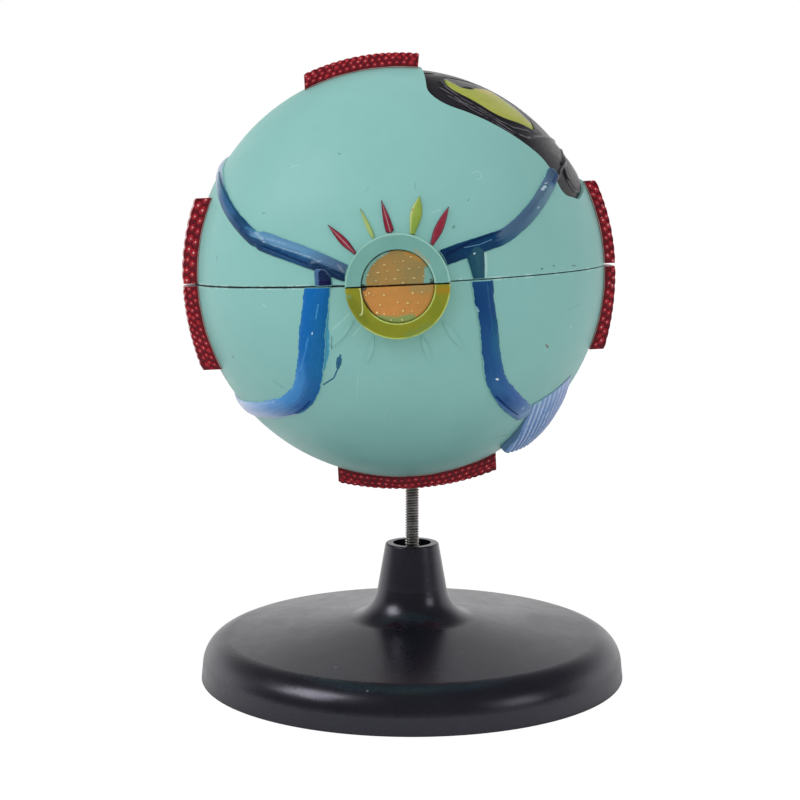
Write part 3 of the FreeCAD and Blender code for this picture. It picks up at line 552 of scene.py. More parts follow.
vein_upper_right = painted_vein(
    "vein_paint_upper_right",
    [(0.0, midnight), (0.31, navy), (0.35, slate), (0.62, slate), (0.74, (0.085, 0.15, 0.22)),
     (0.88, (0.085, 0.145, 0.235)), (1.0, (0.045, 0.088, 0.155))],
    [(0.0, midnight), (0.12, navy), (0.32, navy), (0.36, (0.035, 0.105, 0.19)), (0.5, (0.068, 0.14, 0.235)),
     (0.64, (0.095, 0.19, 0.27)), (0.85, (0.13, 0.25, 0.33)), (0.92, ocean), (1.0, navy)],
    (0.012, 0.070, 0.120), (0.018, 0.085, 0.130), ((0.10, 0.20, 0.32), 0.35),
    # Painted highlights: the next three whitish strokes are glints on the run from the bend to the window.
    [([(48.9, 29.5), (50.3, 29.8)], 0.45, 0.35, 1.5, (0.5, 0.66, 0.74), 0.8),
     ([(51.3, 30.6), (52.2, 30.4)], 0.3, 0.25, 0.9, (0.5, 0.65, 0.74), 0.75),
     ([(43.3, 25.0), (44.2, 25.0)], 0.22, 0.2, 0.6, (0.5, 0.62, 0.74), 0.7),
     ([(18.7, 25.9), (22.6, 22.8), (26.2, 22.3)], 0.17, 0.13, 0.3, (0.13, 0.28, 0.42), 0.8),
     ([(13.9, 28.4), (21.0, 27.2), (29.7, 24.0)], 0.45, 0.35, 0.4, (0.003, 0.014, 0.06), 0.8),
     ([(32.2, 17.9), (37.9, 19.7), (41.6, 21.6), (49.9, 25.5), (56.0, 28.1)], 0.4, 0.3, 1.2,
      (0.012, 0.09, 0.26), 0.65),
     ([(54.6, 29.4), (59.8, 30.4)], 0.9, 0.5, 0.8, (0.012, 0.045, 0.13), 0.85),
     ([(20.9, 17.0), (20.7, 9.0)], 0.25, 0.2, 0.4, (0.03, 0.12, 0.16), 0.7),
     ([(20.4, 18.6), (20.6, 18.9)], 0.25, 0.15, 0.2, painted_glint, 0.8)],
    bare=0.1, thin=0.15)
vein_lower_right = painted_vein(
    "vein_paint_lower_right",
    [(0.0, deep_blue), (0.2, deep_blue), (0.27, (0.009, 0.085, 0.20)), (0.33, (0.018, 0.12, 0.24)),
     (0.5, (0.02, 0.105, 0.28)), (0.68, (0.036, 0.125, 0.33)), (0.82, (0.05, 0.135, 0.36)),
     (0.92, (0.10, 0.20, 0.43)), (1.0, (0.16, 0.27, 0.46))],
    [(0.0, deep_blue), (0.15, (0.005, 0.05, 0.18)), (0.32, (0.014, 0.08, 0.23)), (0.5, (0.018, 0.09, 0.26)),
     (0.62, (0.035, 0.135, 0.32)), (0.75, (0.02, 0.08, 0.25)), (0.85, (0.055, 0.145, 0.33)),
     (0.95, (0.14, 0.26, 0.46)), (1.0, (0.17, 0.29, 0.48))],
    navy, navy, ((0.03, 0.14, 0.36), 0.35),
    [([(22.5, -3.2), (23.8, -15.8), (27.2, -29.6)], 0.3, 0.28, 0.5, (0.06, 0.15, 0.36), 0.3),
     ([(37.3, -47.3), (37.8, -47.0)], 0.36, 0.2, 0.3, painted_glint, 0.9),
     ([(20.7, -19.7), (21.5, -21.9)], 0.4, 0.2, 1.2, (0.30, 0.52, 0.62), 0.8),
     # Painted shade: a thin dark line in the groove along the vein's outer run.
     ([(42.4, -52.3), (48.8, -51.9), (55.6, -51.3)], 0.26, 0.15, 0.3, (0.002, 0.012, 0.11), 0.95),
     ([(44.0, -53.6), (50.0, -53.0), (57.5, -52.4)], 0.6, 0.4, 0.8, (0.13, 0.26, 0.50), 0.75),
     ([(57.0, -50.6), (58.6, -47.6)], 0.5, 0.3, 0.6, (0.24, 0.42, 0.62), 0.7)],
    bare=0.25, thin=0.2)


def muscle_paint():
    """Dark red enamel over moulded flesh, paler where it is thin."""
    finish = Finish("muscle_paint", coat_weight=0.12, coat_roughness=0.1, specular_ior_level=0.16, ior=1.5)
    tip = finish.reading("bead")
    tone = finish.mottle(90.0, 2.0).between((0.25, 0.007, 0.015), (0.48, 0.015, 0.028))
    # Painted light and shade on the beads: lighter towards their tops, painted shade in the gaps between
    # them.
    tone = tone.under((0.48, 0.03, 0.045), tip.ramp(0.45, 1.0) * 0.3)
    tone = tone.under((0.065, 0.002, 0.008), tip.ramp(0.35, 0.0) * 0.8)
    # Painted glints: pale spots on the bead tips stand for highlights.
    worn = tip.ramp(0.925, 0.98) * finish.mottle(420.0, 2.2).ramp(0.3, 0.5)
    glint_specks = finish.specks(620.0, 0.3, 0.14) * 0.6 * tip
    tone = tone.under((0.86, 0.55, 0.55), (worn * 0.85).most(glint_specks))
    foot = finish.reading("foot") + finish.mottle(300.0, 1.5) * 0.3
    tone = tone.under((0.60, 0.42, 0.36), foot.ramp(0.42, 0.28) * 0.75)
    rubbed = finish.reading("wall") * 0.35 * finish.mottle(160.0, 2.0).ramp(0.4, 0.7)
    return finish.done(tone.under((0.42, 0.14, 0.16), rubbed), (0.18, 0.34, finish.mottle(200.0, 2.0)),
                       (finish.grain(150.0, 1500.0), 0.25, 0.2))


def oblique_paint():
    """Violet blue, paler along the ribs' crests and darker in the grooves between them."""
    finish = Finish("oblique_paint", ior=1.47)
    crest = finish.reading("crest")
    tone = finish.mottle(120.0, 1.8).between((0.15, 0.28, 0.56), (0.25, 0.41, 0.70))
    # Paler along the ribs' crests, darker in the grooves below them.
    rubbed = crest.ramp(0.62, 0.96) * finish.mottle(170.0, 2.2).ramp(0.2, 0.6)
    tone = tone.under((0.52, 0.62, 0.82), rubbed * 0.8)
    tone = tone.under((0.11, 0.20, 0.42), crest.ramp(0.22, 0.0))
    tone = tone.under((0.50, 0.56, 0.80), finish.reading("far") * 0.6)
    tone = tone.under((0.085, 0.185, 0.31), finish.reading("wall"))
    faded = finish.reading("fade") + (finish.mottle(300.0, 2.0) - 0.5)
    tone = tone.under(teal_base(finish), faded.ramp(0.2, 1.0) * 0.8)
    return finish.done(tone, (0.35, 0.5, finish.mottle(200.0, 1.8)), (finish.grain(200.0, 1500.0), 0.2, 0.2))


def artery_paint():
    """Dark red leaves with a pale line down the middle and a dark edge."""
    finish = Finish("artery_paint", ior=1.47)
    tone = finish.mottle(300.0, 2.0).between((0.20, 0.006, 0.022), (0.33, 0.035, 0.065))
    ragged = finish.reading("side") + finish.mottle(500.0, 1.0) * 0.25
    line = abs(ragged - 0.1).ramp(0.16, 0.05) * finish.reading("bare_line")
    tone = tone.under((0.55, 0.42, 0.42), line * 0.7)
    tone = tone.under((0.055, 0.01, 0.03), finish.reading("inset").ramp(0.32, 0.1) * 0.65)
    return finish.done(tone, (0.25, 0.42, finish.mottle(400.0, 1.5)))


def nerve_leaf_paint():
    finish = Finish("nerve_leaf_paint", ior=1.47)
    tone = finish.mottle(150.0, 2.4).between((0.20, 0.32, 0.04), (0.33, 0.43, 0.08))
    # Painted highlight: paler along one side of each leaf.
    tone = tone.under((0.52, 0.58, 0.24), finish.reading("side").ramp(0.45, 0.85) * 0.8)
    tone = finish.marked(tone, [([(18.6, 76.0), (19.0, 76.0)], 0.5, 0.5, 0.4, (0.28, 0.17, 0.05), 0.6),
                                ([(12.5, 115.6), (22.0, 114.2)], 0.8, 0.4, 0.6, (0.42, 0.53, 0.20), 0.7)])
    return finish.done(tone, (0.3, 0.45, finish.mottle(300.0, 1.5)))


def nerve_marks(marks):
    """Strokes over the nerve's end, given by (x, z) in mm, with the dark gap between its halves last."""
    gap = [([(-13.6, 0.0), (13.6, 0.0)], 0.25, 0.1, 0.3, (0.008, 0.012, 0.012), 0.9)]
    return [([nerve_place(x, z) for x, z in places], *brush) for places, *brush in marks + gap]


def nerve_sheath(name, clouds, colours, rim, all_round, marks, gloss, gloss_clouds):
    """Half of the ring round the nerve's core, with pale lines along its rims, the inner one only towards the
    lower right.

    all_round is how far the outer line goes round.
    """
    finish = Finish(name, ior=1.47)
    from_right = finish.from_centre(0)
    from_middle = finish.from_centre(2, nerve_drop)
    flat = shade(finish.tree, "CombineXYZ", {"X": from_right, "Y": from_middle})
    radius = flat.vector("LENGTH", output="Value") + (finish.mottle(240.0, 1.5) - 0.5) * 0.35
    low_right = (from_right - from_middle).ramp(-3.0, 2.5)
    outer = radius.ramp(nerve_radius - 0.5, nerve_radius - 0.12) * low_right.most(all_round)
    inner = radius.ramp(nerve_core_radius + 0.5, nerve_core_radius + 0.15) * low_right
    tone = finish.mottle(*clouds).between(*colours).under(rim, outer.most(inner) * 0.85)
    return finish.done(finish.marked(tone, nerve_marks(marks)), (*gloss, finish.mottle(*gloss_clouds)),
                       (finish.grain(120.0, 1400.0), 0.2, 0.15))


def nerve_core_paint(name, dull, bright, marks):
    """Orange end of the nerve with pale dots; the painter missed its ends."""
    finish = Finish(name, ior=1.47)
    tone = finish.marked(finish.mottle(85.0, 2.2).between(dull, bright), nerve_marks(marks))
    dot = (finish.reading("dot") + (finish.mottle(700.0, 1.0) - 0.5) * 0.5).ramp(0.45, 0.75)
    return finish.done(tone.under((0.78, 0.66, 0.30), dot * 0.8), (0.25, 0.42, finish.mottle(150.0, 1.8)),
                       (finish.grain(220.0, 1600.0), 0.3, 0.2))


def window_black():
    """Glossy black, with painted highlights in grey along its ridges and the lobe's rim, and fine grey
    scratches.
    """
    finish = Finish("window_black", specular_ior_level=0.2, ior=1.5)
    tone = finish.mottle(60.0, 2.0).between((0.006, 0.0055, 0.008), (0.022, 0.020, 0.027))
    # Painted highlight: grey along the crests of the ridges and the lobe's rim.
    ridge = finish.reading("ridge").ramp(0.35, 0.85) * finish.mottle(260.0, 2.4).ramp(0.25, 0.6)
    tone = tone.under((0.20, 0.19, 0.21), ridge * 0.75)
    tone = tone.under((0.12, 0.12, 0.13), finish.scratches(120.0, 0.012, 0.25) * 0.25)
    tone = tone.under((0.003, 0.003, 0.004), finish.reading("slit"))
    return finish.done(tone, (0.22, 0.42, finish.mottle(130.0, 2.0)),
                       (finish.grain(110.0, 1200.0), 0.3, 0.25))


def window_yellow():
    """Yellow-green, warm in one place and partly painted over with black, with a painted reflection in grey
    over the black.
    """
    finish = Finish("window_yellow", ior=1.47)
    tone = finish.mottle(60.0, 2.0).between((0.31, 0.37, 0.035), (0.47, 0.47, 0.12))
    tone = tone.under((0.56, 0.42, 0.13), finish.reading("warm") * 0.75)
    tone = tone.under((0.17, 0.25, 0.02), finish.reading("inset").ramp(1.0, 0.2))
    cover = finish.reading("cover") + (finish.mottle(230.0, 1.8) - 0.5) * 0.5
    # Painted reflection: the grey edge of the black and the grey in its clouds stand for the backdrop seen at
    # this grazing view.
    tone = tone.under((0.30, 0.31, 0.24), cover.ramp(-0.45, -0.1))
    black = finish.mottle(90.0, 2.6).between((0.012, 0.012, 0.016), (0.20, 0.195, 0.19))
    tone = tone.under(black, cover.ramp(0.0, 0.3)).under((0.006, 0.006, 0.006), finish.reading("slit"))
    return finish.done(tone, (0.24, 0.4, finish.mottle(120.0, 2.0)),
                       (finish.grain(100.0, 1200.0), 0.25, 0.2))


def inner_paint(name, dark, light, scale, roughness=0.4):
    """Plain brushed paint of the layers inside the ball."""
    finish = Finish(name, coat_weight=0.15, coat_roughness=0.25, ior=1.47)
    tone = finish.mottle(scale, 2.0).between(dark, light).under(dark, finish.specks(220.0, 0.2, 0.05) * 0.5)
    return finish.done(tone, (roughness - 0.08, roughness + 0.1, finish.mottle(scale * 3.0, 1.6)),
                       (finish.grain(60.0, 900.0), 0.25, 0.2))


def retina_paint():
    """Orange, with red and blue vessels that branch over it."""
    finish = Finish("retina_paint", coat_weight=0.15, coat_roughness=0.25, ior=1.47)
    tone = finish.mottle(35.0, 2.0).between((0.62, 0.25, 0.085), (0.78, 0.38, 0.16))
    drift = shade(finish.tree, "TexNoise", {"Vector": finish.where, "Scale": 40.0}, "Color")
    bent = finish.where.vector("ADD", drift.vector("MULTIPLY", (0.012, 0.012, 0.012)))
    for scale, colour, width in ((48.0, (0.45, 0.03, 0.03), 0.028), (37.0, (0.05, 0.07, 0.24), 0.022)):
        cells = shade(finish.tree, "TexVoronoi", {"Vector": bent, "Scale": scale}, "Distance",
                      feature="DISTANCE_TO_EDGE")
        kept = finish.where.noise(scale * 0.6, 2.0).ramp(0.48, 0.56)
        tone = tone.under(colour, cells.ramp(width, width * 0.5) * kept)
    return finish.done(tone, (0.35, 0.5, finish.mottle(80.0, 1.6)), (finish.grain(60.0, 900.0), 0.25, 0.2))


def iris_paint():
    """Brown, streaked from the pupil outwards, with a darker rim."""
    finish = Finish("iris_paint", coat_weight=0.2, coat_roughness=0.2, ior=1.47)
    offset = finish.where.vector("SUBTRACT", tuple(eye_centre))
    parts = add(finish.tree, "SeparateXYZ", {0: offset}).outputs
    turn = maths(finish.tree, "ARCTAN2", parts["Z"], parts["X"])
    radius = offset.vector("MULTIPLY", (1000.0, 0.0, 1000.0)).vector("LENGTH", output="Value")
    streak = shade(finish.tree, "CombineXYZ", {"X": turn * 16.0, "Y": radius * 0.12}).noise(2.0, 4.0, 0.7)
    tone = streak.ramp(0.3, 0.7).between((0.085, 0.032, 0.012), (0.34, 0.17, 0.06))
    tone = tone.under((0.045, 0.018, 0.01), radius.ramp(25.0, 29.0))
    tone = tone.under((0.03, 0.012, 0.008), radius.ramp(11.0, 9.3))
    return finish.done(tone, (0.3, 0.46, streak), (streak, 0.5, 0.4))


def clear_plastic(name, tint, roughness):
    """Clear moulding with faint scratches in its polish."""
    finish = Finish(name, base_color=tint + (1.0,), transmission_weight=1.0, ior=1.49)
    cloudy = finish.scratches(70.0, 0.01, 0.2).most(finish.mottle(30.0, 1.5) * 0.4)
    return finish.done(None, (roughness, roughness + 0.12, cloudy), (finish.grain(25.0, 500.0), 0.08, 0.15))


def black_stand_plastic():
    """Satin black moulding with fine peel, dust and rubbing marks."""
    finish = Finish("black_stand_plastic", specular_ior_level=0.8, ior=1.5,
                    specular_tint=(0.87, 0.85, 1.0, 1.0))
    rubbed = finish.scratches(40.0, 0.006, 0.18)
    tone = finish.mottle(16.0, 1.8).between((0.0034, 0.0036, 0.0070), (0.0068, 0.0070, 0.0125))
    tone = tone.under((0.07, 0.07, 0.085), rubbed * 0.35)
    tone = tone.under((0.20, 0.20, 0.22), finish.specks(330.0, 0.2, 0.035) * 0.5)
    return finish.done(tone, (0.22, 0.35, rubbed.most(finish.mottle(45.0, 1.5))),
                       (finish.grain(22.0, 1500.0), 0.14, 0.22))


def metal(name, dark, light, streak_scale, roughness):
    """Turned or rolled metal with fine streaks round its axis."""
    finish = Finish(name, metallic=1.0)
    streak = finish.where.vector("MULTIPLY", (0.15, 0.15, 1.0)).noise(streak_scale, 3.0)
    tone = streak.ramp(0.3, 0.7).between(dark, light)
    # Darker in the thread's grooves.
    tone = tone.under((0.06, 0.057, 0.052), finish.reading("groove").ramp(0.35, 0.95) * 0.75)
    tone = tone.under(dark, finish.mottle(400.0, 2.0) * 0.25)
    return finish.done(tone, (roughness, roughness + 0.2, streak), (streak, 0.2, 0.03))


finishes = {
    "black_plastic": black_stand_plastic(),
    "steel": metal("rolled_steel", (0.34, 0.33, 0.32), (0.62, 0.61, 0.60), 1800.0, 0.22),
    "brass": metal("turned_brass", (0.50, 0.36, 0.14), (0.78, 0.60, 0.30), 1500.0, 0.25),
    "choroid_black": inner_paint("choroid_paint", (0.010, 0.010, 0.013), (0.030, 0.029, 0.034), 60.0, 0.35),
    "retina_orange": retina_paint(),
    "ciliary_brown": inner_paint("ciliary_paint", (0.085, 0.032, 0.018), (0.19, 0.085, 0.05), 110.0),
    "iris_brown": iris_paint(),
    "clear_plastic": clear_plastic("clear_moulding", (0.93, 0.97, 0.97), 0.03),
    "muscle_red": muscle_paint(),
    "oblique_violet": oblique_paint(),
    "retina_yellow": window_yellow(),
}
own_finishes = {
    "sclera_upper": teal_sclera("sclera_paint_upper", upper_marks),
    "sclera_lower": teal_sclera("sclera_paint_lower", lower_marks),
    "optic_nerve_sheath_upper": nerve_sheath(
        "nerve_sheath_teal", (70.0, 1.6), ((0.135, 0.335, 0.295), (0.19, 0.42, 0.37)),
        (0.33, 0.60, 0.52), 1.0,
        [([(4.9, 8.7), (8.2, 5.5)], 0.5, 0.4, 0.8, (0.42, 0.30, 0.12), 0.55)], (0.36, 0.52), (90.0, 1.6)),
    "optic_nerve_sheath_lower": nerve_sheath(
        "nerve_sheath_olive", (55.0, 2.2), ((0.15, 0.20, 0.012), (0.28, 0.27, 0.014)),
        (0.50, 0.62, 0.16), 0.25,
        [([(10.5, -1.6), (12.9, -1.6)], 1.6, 1.5, 1.4, (0.33, 0.20, 0.01), 0.85),
         ([(-13.2, -2.0), (-12.2, -2.4)], 0.6, 0.5, 0.8, (0.16, 0.34, 0.18), 0.6),
         ([(2.0, -13.0), (8.0, -10.5)], 1.6, 1.6, 1.6, (0.14, 0.25, 0.06), 0.5),
         ([(-12.0, -3.5), (-8.8, -8.6)], 2.0, 1.8, 1.2, (0.10, 0.14, 0.01), 0.45),
         ([(-9.6, -0.3), (-9.25, -2.8), (-9.15, -5.7), (-9.4, -6.9), (-9.9, -7.0)], 0.19, 0.1, 0.2,
          (0.60, 0.66, 0.30), 0.9)], (0.26, 0.44), (110.0, 1.8)),
    "lens": clear_plastic("lens_plastic", (0.97, 0.97, 0.93), 0.01),
}
crease = math.radians(52)      # faces that meet more sharply are shaded apart
node_slot = {name: node.data.materials[0].name for name, node in nodes.items()}
for name, node in nodes.items():
    finish = own_finishes.get(name) or finishes.get(node_slot[name])
    if finish is not None:
        node.data.materials[0] = finish


# ================================================================ meshes
def put(name, mesh, body, material, *replaced):
    """Make a piece of a mesh, let it ride on a body and stand for CAD nodes."""
    piece = bpy.data.objects.new(name, mesh)
    scene.collection.objects.link(piece)
    mesh.materials.append(material)
    mesh.shade_smooth()
    mesh.set_sharp_from_angle(angle=crease)
    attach(piece, body)
    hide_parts(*replaced)
    return piece


def mesh_of(name, parts):
    """One mesh of several (points in the eye's mm, faces, readings) parts."""
    points = []
    faces = []
    readings = {}
    start = 0
    for part_points, part_faces, part_readings in parts:
        points.append(part_points)
        faces.append(part_faces + start)
        for key, values in part_readings.items():
            readings.setdefault(key, []).append((start, values))
        start += len(part_points)
    mesh = bpy.data.meshes.new(name)
    mesh.from_pydata(world(np.concatenate(points)).tolist(), [], np.concatenate(faces).tolist())
    for key, runs in readings.items():
        whole = np.zeros(start, np.float32)
        for first, values in runs:
            whole[first:first + len(values)] = values
        mesh.attributes.new(key, "FLOAT", "POINT").data.foreach_set("value", whole)
    mesh.update()
    return mesh


def plate(span, pitch, edge, faces, readings):
    """A closed plate over a flat chart, as (points, faces, readings) for mesh_of.

    edge(u, v) is the distance from the plate's outline, below zero on the plate.
    faces(u, v) gives the points of its outer and inner face, in the eye's mm.
    readings(u, v) gives the values that its material reads.
    """
    u, v = np.meshgrid(np.arange(span[0], span[1] + pitch, pitch),
                       np.arange(span[2], span[3] + pitch, pitch), indexing="ij")
    gap = edge(u, v)
    near = gap < 0.5 * pitch
    cells = near[:-1, :-1] & near[1:, :-1] & near[1:, 1:] & near[:-1, 1:]
    cells &= (gap[:-1, :-1] < 0) | (gap[1:, 1:] < 0)
    around = np.zeros(u.shape, int)
    for i, j in ((0, 0), (1, 0), (1, 1), (0, 1)):
        around[i:i + cells.shape[0], j:j + cells.shape[1]] += cells
    used = around > 0
    rim = used & (around < 4)
    step = 0.1 * pitch
    for _ in range(2):
        x = u[rim]
        y = v[rim]
        off = edge(x, y)
        slope_x = (edge(x + step, y) - edge(x - step, y)) / (2 * step)
        slope_y = (edge(x, y + step) - edge(x, y - step)) / (2 * step)
        steep = np.maximum(slope_x ** 2 + slope_y ** 2, 0.3)
        u[rim] = x - np.clip(off * slope_x / steep, -0.8 * pitch, 0.8 * pitch)
        v[rim] = y - np.clip(off * slope_y / steep, -0.8 * pitch, 0.8 * pitch)

    number = np.full(u.shape, -1)
    count = int(used.sum())
    number[used] = np.arange(count)
    i, j = np.nonzero(cells)
    outer = np.stack([number[i, j], number[i + 1, j], number[i + 1, j + 1], number[i, j + 1]], axis=1)
    bordered = np.pad(cells, 1)
    walls = []
    for side, (di, dj) in enumerate(((0, -1), (1, 0), (0, 1), (-1, 0))):
        open_side = ~bordered[i + 1 + di, j + 1 + dj]
        first = outer[open_side, side]
        second = outer[open_side, (side + 1) % 4]
        walls.append(np.stack([second, first, first + count, second + count], axis=1))
    quads = np.concatenate([outer, outer[:, ::-1] + count] + walls)
    high, low = faces(u[used], v[used])
    values = {key: np.concatenate([value, value]) for key, value in readings(u[used], v[used]).items()}
    return np.concatenate([high, low]), quads, values


# ---------------------------------------------------------------- charts and distances
def rear_chart(u, v):
    """The ball unrolled round its rear pole, as unit vectors."""
    reach = np.maximum(np.hypot(u, v), 1e-9)
    side = np.sin(reach / eye_radius) / reach
    return np.stack([u * side, -np.cos(reach / eye_radius), v * side], axis=-1)


window_outward = ball_direction(90.0, 52.0)
window_across = ball_direction(90.0, -38.0)
to_front = np.array([0.0, 1.0, 0.0])


def window_chart(a, b):
    """The plane that touches the ball in the window's middle, as unit vectors."""
    return unit(window_outward * eye_radius + window_across * a[..., None] + to_front * b[..., None])


def window_place(points):
    """Where lines from the eye's centre through points meet the window's plane."""
    height = np.maximum(points @ window_outward, 1e-6)
    return points @ window_across * eye_radius / height, points @ to_front * eye_radius / height


def rounded_outline(corners, steps=8):
    """Points of a closed outline whose corners (x, y, radius) are rounded."""
    points = []
    for before, here, after in zip(corners[-1:] + corners[:-1], corners, corners[1:] + corners[:1]):
        corner = np.array(here[:2], float)
        to_before = unit(np.array(before[:2]) - corner)
        to_after = unit(np.array(after[:2]) - corner)
        half = math.acos(to_before @ to_after) / 2
        centre = corner + unit(to_before + to_after) * here[2] / math.sin(half)
        start = corner + to_before * here[2] / math.tan(half) - centre
        end = corner + to_after * here[2] / math.tan(half) - centre
        sweep = math.pi - 2 * half
        for i in range(steps + 1):
            share = i / steps
            points.append(centre + (start * math.sin((1 - share) * sweep) + end * math.sin(share * sweep))
                          / math.sin(sweep))
    return np.array(points)


def outline_distance(outline, x, y):
    """Distance from a closed flat outline, below zero inside it."""
    best = np.full(x.shape, np.inf)
    inside = np.zeros(x.shape, bool)
    for (ax, ay), (bx, by) in zip(outline, np.roll(outline, -1, axis=0)):
        ex = bx - ax
        ey = by - ay
        share = np.clip(((x - ax) * ex + (y - ay) * ey) / max(ex * ex + ey * ey, 1e-12), 0, 1)
        best = np.minimum(best, np.hypot(x - ax - share * ex, y - ay - share * ey))
        crossed = (ay > y) != (by > y)
        inside ^= crossed & (x < ax + (y - ay) * ex / (ey or 1e-12))
    return np.where(inside, -best, best)


def line_distance(points, x, y):
    """Distance from an open flat line, and the share of the line that is nearest."""
    best = np.full(x.shape, np.inf)
    place = np.zeros(x.shape)
    runs = len(points) - 1
    for i, ((ax, ay), (bx, by)) in enumerate(zip(points, points[1:])):
        ex = bx - ax
        ey = by - ay
        share = np.clip(((x - ax) * ex + (y - ay) * ey) / (ex * ex + ey * ey), 0, 1)
        away = np.hypot(x - ax - share * ex, y - ay - share * ey)
        place = np.where(away < best, (i + share) / runs, place)
        best = np.minimum(best, away)
    return best, place


def seam_distance(points, half):
    """Distance over the seam, below zero in the upper (1) or lower (-1) half; points in mm."""
    return seam_half - half * points[..., 2]


def sheath_distance(points):
    return nerve_radius + glue - np.hypot(points[..., 0], points[..., 2] + nerve_drop)


def wobble(along, seed):
    """Smooth unevenness between -1 and 1 along a length in mm."""
    return (0.45 * np.sin(0.55 * along + seed) + 0.3 * np.sin(1.35 * along + 1.7 * seed)
            + 0.25 * np.sin(3.1 * along + 2.9 * seed))


# ---------------------------------------------------------------- vortex veins
def vein_path(places):
    """Path over the ball from places (off, around, half width, height), its corners rounded."""
    rows = [np.append(ball_direction(off, around), (half_width, height))
            for off, around, half_width, height in places]
    for _ in range(2):
        cut = [rows[0]]
        for one, two in zip(rows, rows[1:]):
            cut += [one * 0.8 + two * 0.2, one * 0.2 + two * 0.8]
        rows = cut + [rows[-1]]
    return [np.append(unit(row[:3]), row[3:]) for row in rows]


def follow(points, path):
    """For unit vectors: distance from a path, then side, length along, half width and height there."""
    best = np.full(points.shape[:-1], np.inf)
    found = np.zeros(points.shape[:-1] + (4,))
    start = 0.0
    for one, two in zip(path, path[1:]):
        a = one[:3]
        normal = unit(np.cross(a, two[:3]))
        ahead = np.cross(normal, a)
        whole = math.acos(min(a @ two[:3], 1.0))
        held = np.clip(np.arctan2(points @ ahead, points @ a), 0, whole)
        nearest = a * np.cos(held)[..., None] + ahead * np.sin(held)[..., None]
        away = np.linalg.norm(points - nearest, axis=-1) * eye_radius
        share = held / whole
        row = np.stack([np.sign(points @ normal), start + held * eye_radius,
                        one[3] + share * (two[3] - one[3]), one[4] + share * (two[4] - one[4])], axis=-1)
        closer = away < best
        best = np.where(closer, away, best)
        found = np.where(closer[..., None], row, found)
        start += whole * eye_radius
    return best, found, start


def vein(node, body, half, routes, ragged, material, meets_window=False, upper_side=1.0):
    """Raised vein in one half: a main route, and perhaps a stub down to the seam.

    routes are (off, around, half width, height) places, ragged is how far the paint's edge wanders
    inwards, and upper_side is -1 where the route runs the other way round the ball.
    """
    paths = [vein_path(route) for route in routes]

    def measure(points):
        rows = []
        for path in paths:
            away, found, length = follow(points, path)
            side, along, half_width, height = np.moveaxis(found, -1, 0)
            side = side * upper_side
            inwards = ragged * (0.5 + 0.5 * wobble(along, 2.0 + side))
            rows.append((away - half_width + inwards, away / (half_width - ragged), side,
                         along / length, height))
        return rows

    def edge(u, v):
        points = rear_chart(u, v)
        best = np.minimum.reduce([row[0] for row in measure(points)])
        best = np.maximum(best, seam_distance(points * eye_radius, half))
        best = np.maximum(best, sheath_distance(points * eye_radius))
        if meets_window:
            best = np.maximum(best, -outline_distance(window_edge, *window_place(points)))
        return best

    def faces(u, v):
        points = rear_chart(u, v)
        height = np.zeros(u.shape)
        for _, share, _, _, tall in measure(points):
            round_top = np.clip(1 - share ** 2.4, 0, 1) ** 0.7
            height = np.maximum(height, (tall - paint_film) * round_top)
        rise = (paint_film + height)[:, None]
        return points * (eye_radius + rise), points * (eye_radius + relief_foot)

    def readings(u, v):
        rows = measure(rear_chart(u, v))
        nearest = np.argmin([row[0] for row in rows], axis=0)
        share = np.choose(nearest, [row[1] for row in rows])
        side = np.choose(nearest, [row[2] for row in rows])
        along = np.choose(nearest, [row[3] for row in rows])
        return {"side": side * np.minimum(share, 1.5), "along": along, "stub": (nearest > 0).astype(float),
                "inset": -edge(u, v)}

    places = np.concatenate([np.array(path)[:, :3] for path in paths])
    off = np.arccos(-places[:, 1])
    spread = off / np.maximum(np.sin(off), 1e-6) * eye_radius
    flat_u = places[:, 0] * spread
    flat_v = places[:, 2] * spread
    span = (flat_u.min() - 5, flat_u.max() + 5, flat_v.min() - 5, flat_v.max() + 5)
    put(node + "_relief", mesh_of(node, [plate(span, 0.3, edge, faces, readings)]), body, material, node)


window_edge = rounded_outline([
    (-36.5, 12.0, 14.0), (-29.3, -47.0, 10.0), (17.0, -36.6, 14.0), (31.5, -42.8, 4.0),
    (36.5, -31.5, 5.0), (29.5, 12.0, 11.0), (20.0, 40.0, 11.0), (-21.0, 46.0, 13.0)])

vein("vortex_vein_upper_left", "upper_half", 1, [
    [(104.0, 141.5, 1.5, 0.8), (84.0, 146.0, 1.7, 1.0), (70.9, 149.7, 1.95, 1.2), (55.1, 155.9, 2.1, 1.3),
     (42.8, 160.9, 2.2, 1.2), (40.4, 161.0, 2.25, 1.2), (39.6, 161.0, 2.85, 1.35), (22.6, 162.0, 2.75, 1.3),
     (13.8, 165.9, 2.4, 1.25)],
    [(19.3, 170.0, 2.5, 1.3), (18.9, 180.0, 2.5, 1.3), (18.9, 183.0, 2.5, 1.3)]],
    0.1, vein_upper_left)
vein("vortex_vein_lower_left", "lower_half", -1, [
    [(20.2, 177.0, 3.95, 1.1), (20.5, 180.0, 3.95, 1.1), (27.3, 211.3, 4.2, 1.15), (34.0, 223.0, 4.25, 1.2),
     (42.5, 228.0, 4.0, 1.25), (50.0, 226.5, 3.7, 1.25), (66.0, 220.6, 3.4, 1.1), (98.0, 213.5, 3.3, 0.9)]],
    0.55, vein_lower_left, upper_side=-1.0)
